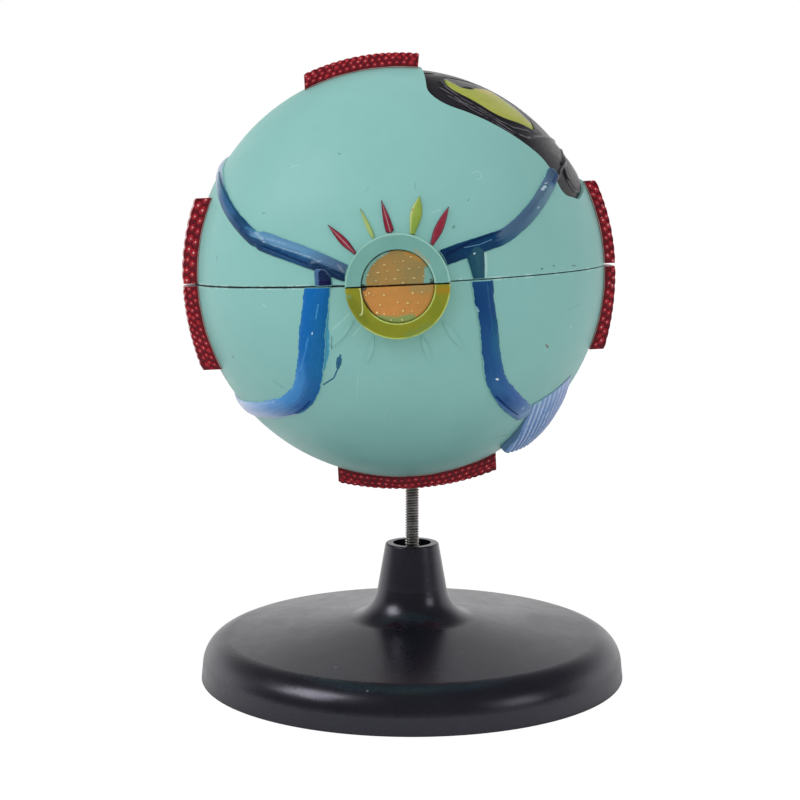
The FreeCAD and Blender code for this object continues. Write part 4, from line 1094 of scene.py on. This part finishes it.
vein("vortex_vein_upper_right", "upper_half", 1, [
    [(13.2, 27.0, 2.35, 1.2), (20.0, 23.6, 2.35, 1.3), (28.0, 21.0, 2.25, 1.3), (31.4, 21.0, 2.15, 1.3),
     (37.6, 23.1, 2.2, 1.3), (44.8, 26.1, 2.25, 1.3), (58.0, 31.3, 2.25, 1.25)],
    [(21.4, 21.5, 2.75, 1.3), (21.0, 17.3, 2.7, 1.3), (20.8, 0.3, 1.7, 1.1), (20.8, -4.0, 1.6, 1.1)]],
    0.12, vein_upper_right, meets_window=True)
vein("vortex_vein_lower_right", "lower_half", -1, [
    [(21.6, 3.0, 3.5, 1.1), (21.6, 0.0, 3.5, 1.15), (22.0, -8.0, 3.4, 1.2), (22.6, -13.6, 3.1, 1.25),
     (26.8, -29.8, 3.0, 1.3), (31.3, -40.3, 3.1, 1.3), (36.4, -46.4, 3.2, 1.3), (41.3, -49.1, 3.3, 1.3),
     (47.7, -49.8, 3.6, 1.25), (53.5, -49.8, 3.5, 1.1), (58.7, -49.6, 3.2, 1.0)]],
    0.4, vein_lower_right)


# ---------------------------------------------------------------- leaves round the optic nerve
def leaf_parts(leaves):
    """Leaves as (base, tip, width, where they are fullest, how bare their middle line is)."""
    parts = []
    for base, tip, width, fullest, bare_line in leaves:
        path = [np.append(ball_direction(*end), (1.0, 1.0)) for end in (base, tip)]

        def shape(points):
            away, found, length = follow(points, path)
            share = found[..., 1] / length
            swell = np.where(share < fullest, share / fullest, (1 - share) / (1 - fullest))
            start = 0.45 * np.clip(1 - share / fullest, 0, 1)
            half_width = width / 2 * (np.sin(swell * math.pi / 2) * (1 - start) + start)
            return away - half_width, found[..., 0] * away / np.maximum(half_width, 0.1), share

        def edge(u, v):
            points = rear_chart(u, v)
            return np.maximum(shape(points)[0], sheath_distance(points * eye_radius))

        def faces(u, v):
            points = rear_chart(u, v)
            _, side, _ = shape(points)
            dome = np.clip(1 - side ** 2, 0, 1) ** 0.5
            groove = 0.35 * np.exp(-(side / 0.18) ** 2) * bare_line
            rise = glue + (leaf_height - glue) * np.clip(dome - groove, 0, 1)
            return points * (eye_radius + rise[:, None]), points * (eye_radius + relief_foot)

        def readings(u, v):
            gap, side, _ = shape(rear_chart(u, v))
            return {"side": side, "inset": -gap, "bare_line": np.full(u.shape, bare_line)}

        ends = np.array([ball_direction(*base), ball_direction(*tip)]) * eye_radius
        span = (ends[:, 0].min() - 3, ends[:, 0].max() + 4, ends[:, 2].min() - 3, ends[:, 2].max() + 4)
        parts.append(plate(span, 0.13, edge, faces, readings))
    return parts


arteries = [
    ((13.2, 142.0), (23.6, 137.7), 2.0, 0.36, 1.0),
    ((12.9, 95.8), (21.8, 98.8), 2.2, 0.05, 0.8),
    ((12.9, 46.5), (23.6, 53.8), 2.3, 0.38, 0.0),
]
nerve_twigs = [
    ((12.9, 115.6), (21.7, 114.2), 1.3, 0.2, 0.0),
    ((12.9, 71.2), (22.9, 73.4), 3.1, 0.5, 0.0),
]
for node, leaves, paint in (("ciliary_arteries", arteries, artery_paint()),
                            ("ciliary_nerves", nerve_twigs, nerve_leaf_paint())):
    put(node + "_relief", mesh_of(node, leaf_parts(leaves)), "upper_half", paint, node)


# ---------------------------------------------------------------- window in the sclera
retina_edge = rounded_outline([
    (-25.2, -16.5, 3.0), (-23.8, -29.4, 8.0), (-3.8, -33.0, 10.0), (8.3, -21.5, 3.0),
    (5.0, -13.0, 3.0), (-9.0, -4.5, 5.0)])
window_ridges = [             # lines on the window's plane, half width, height
    ([(-25.6, -31.0), (-16.7, -36.2), (-9.2, -36.4), (-2.3, -36.3), (3.7, -35.6), (7.6, -32.0), (11.8, -17.6),
      (15.1, -5.1), (16.0, 12.0)], 0.42, 0.35),
    ([(-26.2, -24.0), (-23.0, -29.4), (-16.8, -33.6), (-9.2, -34.6), (-3.1, -34.8), (2.2, -32.6),
      (6.6, -26.5)], 0.38, 0.25),
    ([(-22.0, -35.5), (-12.0, -38.2), (-2.0, -38.0), (6.0, -36.6)], 0.36, 0.2),
    ([(18.5, -7.9), (22.4, -23.0), (24.7, -36.2)], 0.42, 0.45),
    ([(-33.0, 4.0), (-25.0, 8.0), (-12.0, 6.0), (0.0, 10.0), (14.0, 14.0)], 0.5, 0.4),
    ([(-24.0, 24.0), (-8.0, 20.0), (12.0, 28.0)], 0.5, 0.35),
]
lobe_edge = rounded_outline([(20.6, -13.0, 2.0), (21.5, -24.0, 4.0), (26.4, -29.6, 4.0), (33.2, -28.6, 3.0),
                             (34.4, -22.0, 4.0), (29.0, -12.0, 4.0)])
window_slits = [([(-18.3, -22.6), (-14.2, -18.3)], 0.6), ([(-32.8, -15.8), (-28.6, -14.8)], 0.7)]
cover_edge = [(-40.0, -26.0), (-25.6, -18.0), (-23.4, -19.5), (-18.6, -23.4), (-14.0, -17.5), (-10.0, -10.0),
              (-3.8, -13.9), (4.5, -16.5), (12.0, -16.0), (12.0, 2.0), (-40.0, 2.0)]


def slit_mask(a, b):
    mask = np.zeros(a.shape)
    for line, half_width in window_slits:
        away, place = line_distance(line, a, b)
        lens_shape = half_width * (0.25 + np.sin(place * math.pi))
        mask = np.maximum(mask, np.clip(1.5 - away / lens_shape, 0, 1))
    return mask


def choroid_plate():
    def edge(a, b):
        return np.maximum(outline_distance(window_edge, a, b) + glue, -outline_distance(retina_edge, a, b))

    def relief(a, b):
        ridge = np.zeros(a.shape)
        crest = np.zeros(a.shape)
        for line, half_width, height in window_ridges:
            away, _ = line_distance(line, a, b)
            profile = np.exp(-(away / half_width) ** 2)
            ridge = np.maximum(ridge, height * profile)
            crest = np.maximum(crest, profile)
        lobe = outline_distance(lobe_edge, a, b)
        raised = 0.55 * np.clip(0.5 - lobe / 1.0, 0, 1)
        # Painted highlight along the raised lobe's rim, stronger towards the right.
        lobe_rim_highlight = np.exp(-(lobe / 0.4) ** 2) * np.clip((a - 25.0) / 4.0, 0.1, 1)
        inner = outline_distance(retina_edge, a, b)
        lip = 0.25 * np.exp(-(inner / 1.2) ** 2) * np.clip((-20.0 - b) / 6.0, 0, 1)
        slump = -0.35 * np.clip(1 + outline_distance(window_edge, a, b) / 2.0, 0, 1)
        return ridge + raised + lip + slump, np.maximum(crest, lobe_rim_highlight)

    def faces(a, b):
        points = window_chart(a, b)
        height, _ = relief(a, b)
        slit = slit_mask(a, b)
        top = eye_radius - choroid_drop + height - 0.3 * slit
        return points * top[:, None], points * (eye_radius - window_underside)

    def readings(a, b):
        return {"ridge": relief(a, b)[1], "slit": slit_mask(a, b)}

    return plate((-38, 38, -48, 47), 0.36, edge, faces, readings)


def retina_plate():
    def edge(a, b):
        return outline_distance(retina_edge, a, b) + glue

    def faces(a, b):
        points = window_chart(a, b)
        inside = np.clip(-edge(a, b) / 5.0, 0, 1)
        far = np.clip((b + 26.0) / 8.0, 0, 1)
        top = eye_radius - retina_drop + 0.38 * far + (0.45 - 0.3 * far) * np.sin(inside * math.pi / 2)
        top = top - 0.3 * slit_mask(a, b)
        return points * top[:, None], points * (eye_radius - window_underside)

    def readings(a, b):
        away = np.hypot((a + 11.5) / 5.0, (b + 15.0) / 4.0)
        covered = np.maximum(-outline_distance(cover_edge, a, b), -1.0)
        return {"inset": -edge(a, b), "slit": slit_mask(a, b), "warm": np.clip(1.3 - away, 0, 1),
                "cover": covered}

    return plate((-28, 11, -35, -2), 0.35, edge, faces, readings)


for layer, shape, paint in (("choroid", choroid_plate(), window_black()),
                            ("retina", retina_plate(), finishes["retina_yellow"])):
    node = layer + "_window"
    put("window_" + layer + "_relief", mesh_of(node, [shape]), "upper_half", paint, node)


# ---------------------------------------------------------------- muscle pads
def pad_curve(rear, height):
    """Radius of a pad's outer curve along the eye, and how far its centre lies behind the eye's."""
    thick = math.sqrt((eye_radius + height) ** 2 - rear ** 2)
    thin = math.sqrt(eye_radius ** 2 - tendon_front ** 2) + tendon_height
    back = (thin ** 2 + tendon_front ** 2 - thick ** 2 - rear ** 2) / (2 * (rear - tendon_front))
    return math.sqrt(thick ** 2 + (rear + back) ** 2), back


def muscle_pad(node, body, around, rear, height, rows, bead_pitch=2.0, flatness=0.0, width=pad_width,
               shift=0.0, half=0, groove_depth=0.4, cut=None, hole=None):
    """Pad of moulded fibres with a beaded cut face.

    rows are the beads' heights above the ball, flatness is how far beyond the eye's centre the pad's
    curve has its axis, half keeps only one side of the seam, cut and hole trim the pad.
    """
    outward = ball_direction(90.0, around)
    across = ball_direction(90.0, around - 90.0)
    outer_radius, back = pad_curve(rear, height)
    half_width = width / 2
    face_rear = rear + bead_height
    plan = rounded_outline([
        (shift - half_width, face_rear, 0.4), (shift + half_width, face_rear, 0.4),
        (shift + half_width, tendon_front, tendon_corner), (shift - half_width, tendon_front, tendon_corner)])

    def fibre_groove(x, y):
        sway = x + 0.28 * np.sin(0.21 * (y - rear) + 0.35 * x) + 0.12 * np.sin(0.9 * (y - rear) + x)
        fade = np.clip(1.05 - (y - rear) / (tendon_front - rear), 0.22, 1)
        return groove_depth * fade * (1 - np.abs(np.cos(math.pi * sway / bead_pitch)) ** 0.7)

    def outside(x, y):
        along_eye = np.sqrt(outer_radius ** 2 - (y + back) ** 2) + flatness
        return np.sqrt(along_eye ** 2 - x ** 2) - flatness - fibre_groove(x, y)

    def inside(x, y):
        return np.sqrt((eye_radius + glue) ** 2 - x ** 2 - y ** 2)

    def point(x, y, z):
        return across * x[..., None] + to_front * y[..., None] + outward * z[..., None]

    def trims(x, y, z):
        """Distance over what trims the pad besides its plan."""
        points = point(x, y, z)
        best = np.full(x.shape, -np.inf)
        if half:
            best = np.maximum(best, seam_distance(points, half) + 0.3)
        for trim in (cut, hole):
            if trim is not None:
                best = np.maximum(best, trim(points))
        return best

    def edge(x, y):
        return np.maximum(outline_distance(plan, x, y), trims(x, y, outside(x, y)))

    def faces(x, y):
        depth = np.clip(-edge(x, y), 0, 0.4)
        soft = 0.4 - np.sqrt(np.clip(0.16 - (0.4 - depth) ** 2, 0, None))
        top = outside(x, y) - soft * 0.6
        low = inside(x, y)
        low_x = x
        if cut is not None:
            lean = np.sqrt((eye_radius + glue) ** 2 - y ** 2) / np.hypot(x, top)
            low_x = np.where(x > 0, x * lean, x)
            low = np.where(x > 0, top * lean, low)
        return point(x, y, top), point(low_x, y, low)

    def readings(x, y):
        return {"bead": np.full(x.shape, 0.5), "foot": np.full(x.shape, 9.0),
                "wall": np.clip(1 + edge(x, y) / 0.3, 0, 1)}

    def bead(x, t):
        best = np.zeros(x.shape)
        for index, row in enumerate(rows):
            start = bead_pitch * 0.5 * (index % 2)
            cell = np.round((x - start) / bead_pitch)
            jitter = 0.2 * np.sin(cell * 12.9898 + 3.1 * index)
            lift = 0.16 * np.sin(cell * 7.233 + 1.3 * index)
            size = 0.33 * bead_pitch * (1.0 + 0.14 * np.sin(cell * 4.71 + index))
            away = np.hypot(x - start - cell * bead_pitch - jitter, (t - row - lift) * 1.2)
            best = np.maximum(best, np.clip(1 - (away / size) ** 2, 0, 1) ** 0.6)
        return best

    def face_height(x, t):
        return inside(x, np.full(x.shape, face_rear)) + t

    def bead_edge(x, t):
        at = np.full(x.shape, face_rear)
        tall = outside(x, at) - inside(x, at)
        best = np.maximum(np.maximum(t - tall + 0.1, 0.02 - t), np.abs(x - shift) - half_width + 0.1)
        return np.maximum(best, trims(x, at, face_height(x, t)) + 0.1)

    def bead_faces(x, t):
        rim = np.clip(-bead_edge(x, t) / 0.3, 0, 1)
        smooth_foot = np.clip((t - 0.5) / 0.5, 0.35, 1)
        bulge = bead_height * (0.25 + 0.75 * bead(x, t) * smooth_foot) * (0.35 + 0.65 * rim)
        height = face_height(x, t)
        return point(x, face_rear - bulge, height), point(x, np.full(x.shape, face_rear + 0.5), height)

    def bead_readings(x, t):
        return {"bead": bead(x, t), "foot": t, "wall": np.zeros(x.shape)}

    reach = half_width + abs(shift) + 1
    parts = [plate((-reach, reach, rear - 1, tendon_front + 1), 0.39, edge, faces, readings),
             plate((-reach, reach, -0.3, 9.0), 0.2, bead_edge, bead_faces, bead_readings)]
    put(node + "_flesh", mesh_of(node, parts), body, finishes["muscle_red"], node)


def beside_window(points):
    return window_clearance - outline_distance(window_edge, *window_place(points))


def round_insert(points):
    """Clears the hole round the threaded insert."""
    placed = world(points)
    return insert_hole - np.hypot(placed[..., 0], placed[..., 1]) * 1000


lower_flatness = 14.0
muscle_pad("superior_rectus", "upper_half", 90.0, -12.3, 4.2, (1.25, 2.55, 3.6), cut=beside_window)
muscle_pad("inferior_rectus", "lower_half", -90.0, -5.8, 4.1, (1.3, 2.7, 3.8), flatness=lower_flatness,
           width=47.0, shift=-2.6, hole=round_insert)
halves = (("upper", 1, 0.0), ("lower", -1, lower_flatness))
side_muscles = [              # muscle, around, rear, height, groove depth, then the beads of both halves
    ("medial_rectus_", 180.0, -18.5, 4.2, 0.4, ((1.4, 3.0), 3.0), ((1.3, 2.6, 3.7), 2.1)),
    ("lateral_rectus_", 0.0, -8.5, 3.4, 0.2, ((1.3, 2.5), 2.57), ((1.3, 2.5), 2.57))]
for muscle, around, rear, height, groove_depth, *beads in side_muscles:
    for (name, half, flatness), (rows, bead_pitch) in zip(halves, beads):
        muscle_pad(muscle + name, name + "_half", around, rear, height, rows, bead_pitch, flatness,
                   half=half, groove_depth=groove_depth)


# ---------------------------------------------------------------- inferior oblique
def oblique_pad():
    length, width, ribs = 29.0, 22.0, 10
    height, fall = 3.6, 3.5
    outward = ball_direction(72.0, -49.0)
    to_pole = unit(-to_front - outward * (outward @ -to_front))
    turn = math.radians(48.0)
    across = to_pole * math.cos(turn) + np.cross(outward, to_pole) * math.sin(turn)
    along = np.cross(outward, across)
    radius = eye_radius + height - fall / 2
    slide = fall * radius / length
    outer_radius = math.hypot(radius, slide)
    rib_pitch = width / ribs
    plan = rounded_outline([(-length / 2, -width / 2, 0.8), (length / 2, -width / 2, 0.8),
                            (length / 2, -3.5, 0.8), (8.2, 10.2, 0.8), (-length / 2, 6.6, 0.8)])

    def crest(x, y):
        sway = y + 0.15 * np.sin(0.4 * x)
        return np.abs(np.cos(math.pi * sway / rib_pitch)) ** 1.3

    def edge(x, y):
        gap = outline_distance(plan, x, y)
        thin = 0.25 - (np.sqrt(outer_radius ** 2 - (x - slide) ** 2 - y ** 2)
                       - np.sqrt((eye_radius + glue) ** 2 - x ** 2 - y ** 2))
        return np.maximum(gap, thin * 8)

    def faces(x, y):
        low = np.sqrt((eye_radius + glue) ** 2 - x ** 2 - y ** 2)
        top = np.sqrt(outer_radius ** 2 - (x - slide) ** 2 - y ** 2)
        dip = np.minimum(0.75, 0.6 * (top - low)) * (1 - crest(x, y))
        soft = 0.3 * np.clip(1 + edge(x, y) / 0.6, 0, 1)
        top = np.maximum(top - dip - soft, low + 0.05)
        return (along * x[:, None] + across * y[:, None] + outward * top[:, None],
                along * x[:, None] + across * y[:, None] + outward * low[:, None])

    def readings(x, y):
        near = edge(x, y)
        return {"crest": crest(x, y) * np.clip(-near / 0.5, 0, 1),
                "wall": np.clip(1 + near / 0.35, 0, 1) * (y > 3),
                "far": np.clip((-y - 1) / 9, 0, 1),
                "fade": np.clip((-x - 9.5) / 5, 0, 1) * np.clip((y + 9) / 6, 0, 1)}

    span = (-length / 2 - 1, length / 2 + 1, -width / 2 - 1, width / 2 + 1)
    return plate(span, 0.26, edge, faces, readings)


put("inferior_oblique_ribs", mesh_of("inferior_oblique", [oblique_pad()]), "lower_half",
    finishes["oblique_violet"], "inferior_oblique")


# ---------------------------------------------------------------- the optic nerve's dotted core
def core_half(half, dots):
    def edge(x, z):
        return np.maximum(np.hypot(x, z + nerve_drop) - nerve_core_radius + glue, seam_half - half * z)

    def dot_height(x, z):
        best = np.zeros(x.shape)
        for number, (dot_x, dot_z, wide, tall) in enumerate(dots):
            size = 1 + 0.2 * math.sin(number * 2.4)
            away = np.hypot((x - dot_x) / wide, (z - dot_z) / tall) / size
            best = np.maximum(best, np.clip(1 - away ** 2, 0, 1) ** 0.6)
        return best

    def faces(x, z):
        rim = np.clip(1 + edge(x, z) / 0.5, 0, 1)
        end = -nerve_core_end - 0.3 * dot_height(x, z) + 0.25 * rim ** 2
        start = np.full(x.shape, -(eye_radius ** 2 - nerve_core_radius ** 2) ** 0.5 + 0.4)
        return np.stack([x, end, z], axis=-1), np.stack([x, start, z], axis=-1)

    def readings(x, z):
        return {"dot": dot_height(x, z)}

    reach = nerve_core_radius + 0.5
    return plate((-reach, reach, -reach - 0.5, reach), 0.15, edge, faces, readings)


upper_dots = [(x, z, 0.52, 0.18) for x, z in (
    (-3.6, 7.7), (3.7, 7.1), (-5.8, 5.5), (-3.2, 5.4), (-0.4, 6.0), (1.7, 6.2), (-4.9, 3.5), (-2.5, 3.8),
    (0.3, 3.9), (3.1, 4.1), (5.7, 4.4), (-7.5, 3.0), (-5.5, 1.4), (-2.9, 1.8), (-0.6, 1.7), (2.0, 1.8),
    (4.3, 1.7), (6.8, 2.1), (-4.5, 0.4), (1.4, 0.6))]
lower_dots = [(x, z, 0.3, 0.3) for x, z in (
    (-8.2, -2.1), (-7.4, -1.7), (-6.2, -2.2), (3.8, -2.1), (6.2, -2.0), (-0.1, -4.3), (2.4, -4.6),
    (5.0, -4.7), (-4.7, -4.8), (-3.8, -7.2), (-1.3, -7.3), (1.1, -6.6), (3.4, -6.7), (-2.1, -8.8),
    (0.7, -8.9))] + [(-3.6, -2.3, 0.42, 0.42), (-5.6, -6.8, 0.4, 0.4)]
bare_teal = (0.17, 0.38, 0.33)
recess_shade = (0.03, 0.055, 0.05)
upper_core_paint = nerve_core_paint("nerve_core_paint_upper", (0.235, 0.20, 0.075), (0.42, 0.22, 0.055), [
    ([(-9.1, 0.4), (-8.6, 3.2), (-7.2, 5.8), (-5.2, 7.6),
      (-2.4, 9.2)], 0.95, 0.35, 0.9, bare_teal, 0.95),
    ([(7.9, 0.4), (8.2, 3.4)], 1.25, 0.4, 1.0, bare_teal, 0.95),
    ([(2.5, 8.6), (6.2, 6.6)], 1.2, 1.1, 1.2, (0.50, 0.25, 0.05), 0.7),
    ([(-9.4, 0.3), (-8.8, 3.5), (-6.9, 6.4), (-3.6, 8.6),
      (0.5, 9.3), (3.4, 8.6)], 0.24, 0.16, 0.2, recess_shade, 0.9),
    ([(8.4, 1.1), (8.8, 1.2)], 0.25, 0.15, 0.3, recess_shade, 0.8),
    ([(-9.3, 0.2), (-8.9, 0.2)], 0.6, 0.2, 0.4, recess_shade, 0.9),
    ([(8.9, 0.2), (9.4, 0.2)], 0.7, 0.2, 0.4, recess_shade, 0.9)])
lower_core_paint = nerve_core_paint("nerve_core_paint_lower", (0.36, 0.21, 0.055), (0.62, 0.25, 0.06), [
    ([(-5.0, -8.2), (-1.5, -8.9), (3.5, -8.4)], 1.2, 0.8, 1.2, (0.20, 0.31, 0.10), 0.9),
    ([(4.0, -1.0), (8.0, -1.2)], 1.5, 1.4, 1.4, (0.30, 0.24, 0.09), 0.6),
    # Painted shade: a dark line along the core's left edge, beside the ring's inner wall.
    ([(-9.2, -0.4), (-8.9, -3.2), (-6.8, -6.8)], 0.35, 0.25, 0.4, (0.14, 0.10, 0.04), 0.8),
    ([(-9.3, -0.4), (-8.5, -0.5)], 0.55, 0.2, 0.4, recess_shade, 0.85)])
for side, half, dots, paint in (("upper", 1, upper_dots, upper_core_paint),
                                ("lower", -1, lower_dots, lower_core_paint)):
    core = "optic_nerve_core_" + side
    put(core + "_dots", mesh_of(core, [core_half(half, dots)]), side + "_half", paint, core)


# ---------------------------------------------------------------- threaded rod
def threaded_rod():
    low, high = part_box("threaded_rod")
    low = low.z * 1000
    high = high.z * 1000
    turns = 40
    levels = np.arange(low, high + 1e-6, thread_pitch / 10)
    levels[-1] = high
    angle = np.arange(turns) * 2 * math.pi / turns
    z, a = np.meshgrid(levels, angle, indexing="ij")
    phase = (z / thread_pitch - a / (2 * math.pi)) % 1.0
    groove = np.clip(1.15 * (1 - np.abs(2 * phase - 1) * 1.25), 0, 1)
    ends = np.clip(np.minimum(z - low, high - z) / 0.5, 0, 1)
    radius = rod_radius - thread_depth * groove - 0.45 * (1 - ends)
    points = np.stack([radius * np.cos(a), radius * np.sin(a), z], axis=-1).reshape(-1, 3) * 0.001
    rows, count = z.shape
    faces = []
    for i in range(rows - 1):
        for j in range(count):
            k = (j + 1) % count
            faces.append((i * count + j, i * count + k, (i + 1) * count + k, (i + 1) * count + j))
    faces.append(tuple(range(count))[::-1])
    faces.append(tuple((rows - 1) * count + j for j in range(count)))
    mesh = bpy.data.meshes.new("threaded_rod")
    mesh.from_pydata(points.tolist(), [], faces)
    # How deep each point lies in the thread's groove; the steel is darker there.
    worn = mesh.attributes.new("groove", "FLOAT", "POINT")
    worn.data.foreach_set("value", groove.ravel().astype(np.float32))
    mesh.update()
    put("threaded_rod_thread", mesh, "stand", finishes["steel"], "threaded_rod")


threaded_rod()


# ================================================================ floor and background
def seen_ray(tree, seen):
    """1 for rays from the camera, off gloss and through glass."""
    straight = maths(tree, "MAXIMUM", seen["Is Camera Ray"], seen["Is Glossy Ray"])
    return straight.most(seen["Is Transmission Ray"])


def paper_floor():
    """White floor that keeps the object's shadow; gloss on this side of it sees less of it."""
    reach = floor_reach
    mesh = bpy.data.meshes.new("floor")
    mesh.from_pydata([(-reach, -reach, 0), (reach, -reach, 0), (reach, reach, 0), (-reach, reach, 0)], [],
                     [(0, 1, 2, 3)])
    floor = bpy.data.objects.new("floor", mesh)
    scene.collection.objects.link(floor)
    material = bpy.data.materials.new("floor_paper")
    material.use_nodes = True
    mesh.materials.append(material)
    tree = material.node_tree
    shader = tree.nodes["Principled BSDF"]
    shader.inputs["Base Color"].default_value = (0.72, 0.72, 0.72, 1)
    shader.inputs["Roughness"].default_value = 0.9
    shader.inputs["Specular IOR Level"].default_value = 0.0
    where = shade(tree, "TexCoord", output="Object")
    away = where.vector("LENGTH", output="Value")
    seen = add(tree, "LightPath").outputs
    this_side = shade(tree, "SeparateXYZ", {0: where}, "Y").ramp(0.15, -0.05)
    shaded = Shade(tree, seen["Is Glossy Ray"]) * this_side * away.ramp(3.0, 0.3, 0.2, 0.75)
    share = seen_ray(tree, seen) * away.ramp(0.1, 0.7, 0.9, 1.0) - shaded
    glow = add(tree, "Emission", {"Color": (1, 1, 1, 1), "Strength": 1.06})
    shown = add(tree, "MixShader", {0: share, 1: shader.outputs[0], 2: glow.outputs[0]})
    connect(tree, tree.nodes["Material Output"].inputs["Surface"], shown.outputs[0])


def studio():
    """White world behind the object; gloss sees a pale screen low at the back."""
    studio_world = bpy.data.worlds.new("studio")
    scene.world = studio_world
    studio_world.use_nodes = True
    tree = studio_world.node_tree
    tree.nodes.clear()
    seen = add(tree, "LightPath").outputs
    looked = add(tree, "SeparateXYZ", {0: shade(tree, "TexCoord", output="Generated")}).outputs
    behind = Shade(tree, looked["Y"]).ramp(-0.1, 0.45)
    low = Shade(tree, looked["Z"]).ramp(0.65, 0.2)
    screen = maths(tree, "MAXIMUM", seen["Is Camera Ray"], seen_ray(tree, seen) * (behind * low))
    plain = 0.60 - Shade(tree, seen["Is Glossy Ray"]) * 0.49
    light = add(tree, "Background", {"Color": (1, 1, 1, 1), "Strength": plain})
    white = add(tree, "Background", {"Color": (1, 1, 1, 1), "Strength": 1.0})
    shown = add(tree, "MixShader", {0: screen, 1: light.outputs[0], 2: white.outputs[0]})
    connect(tree, add(tree, "OutputWorld").inputs["Surface"], shown.outputs[0])


paper_floor()
studio()
scene.view_settings.view_transform = "Standard"
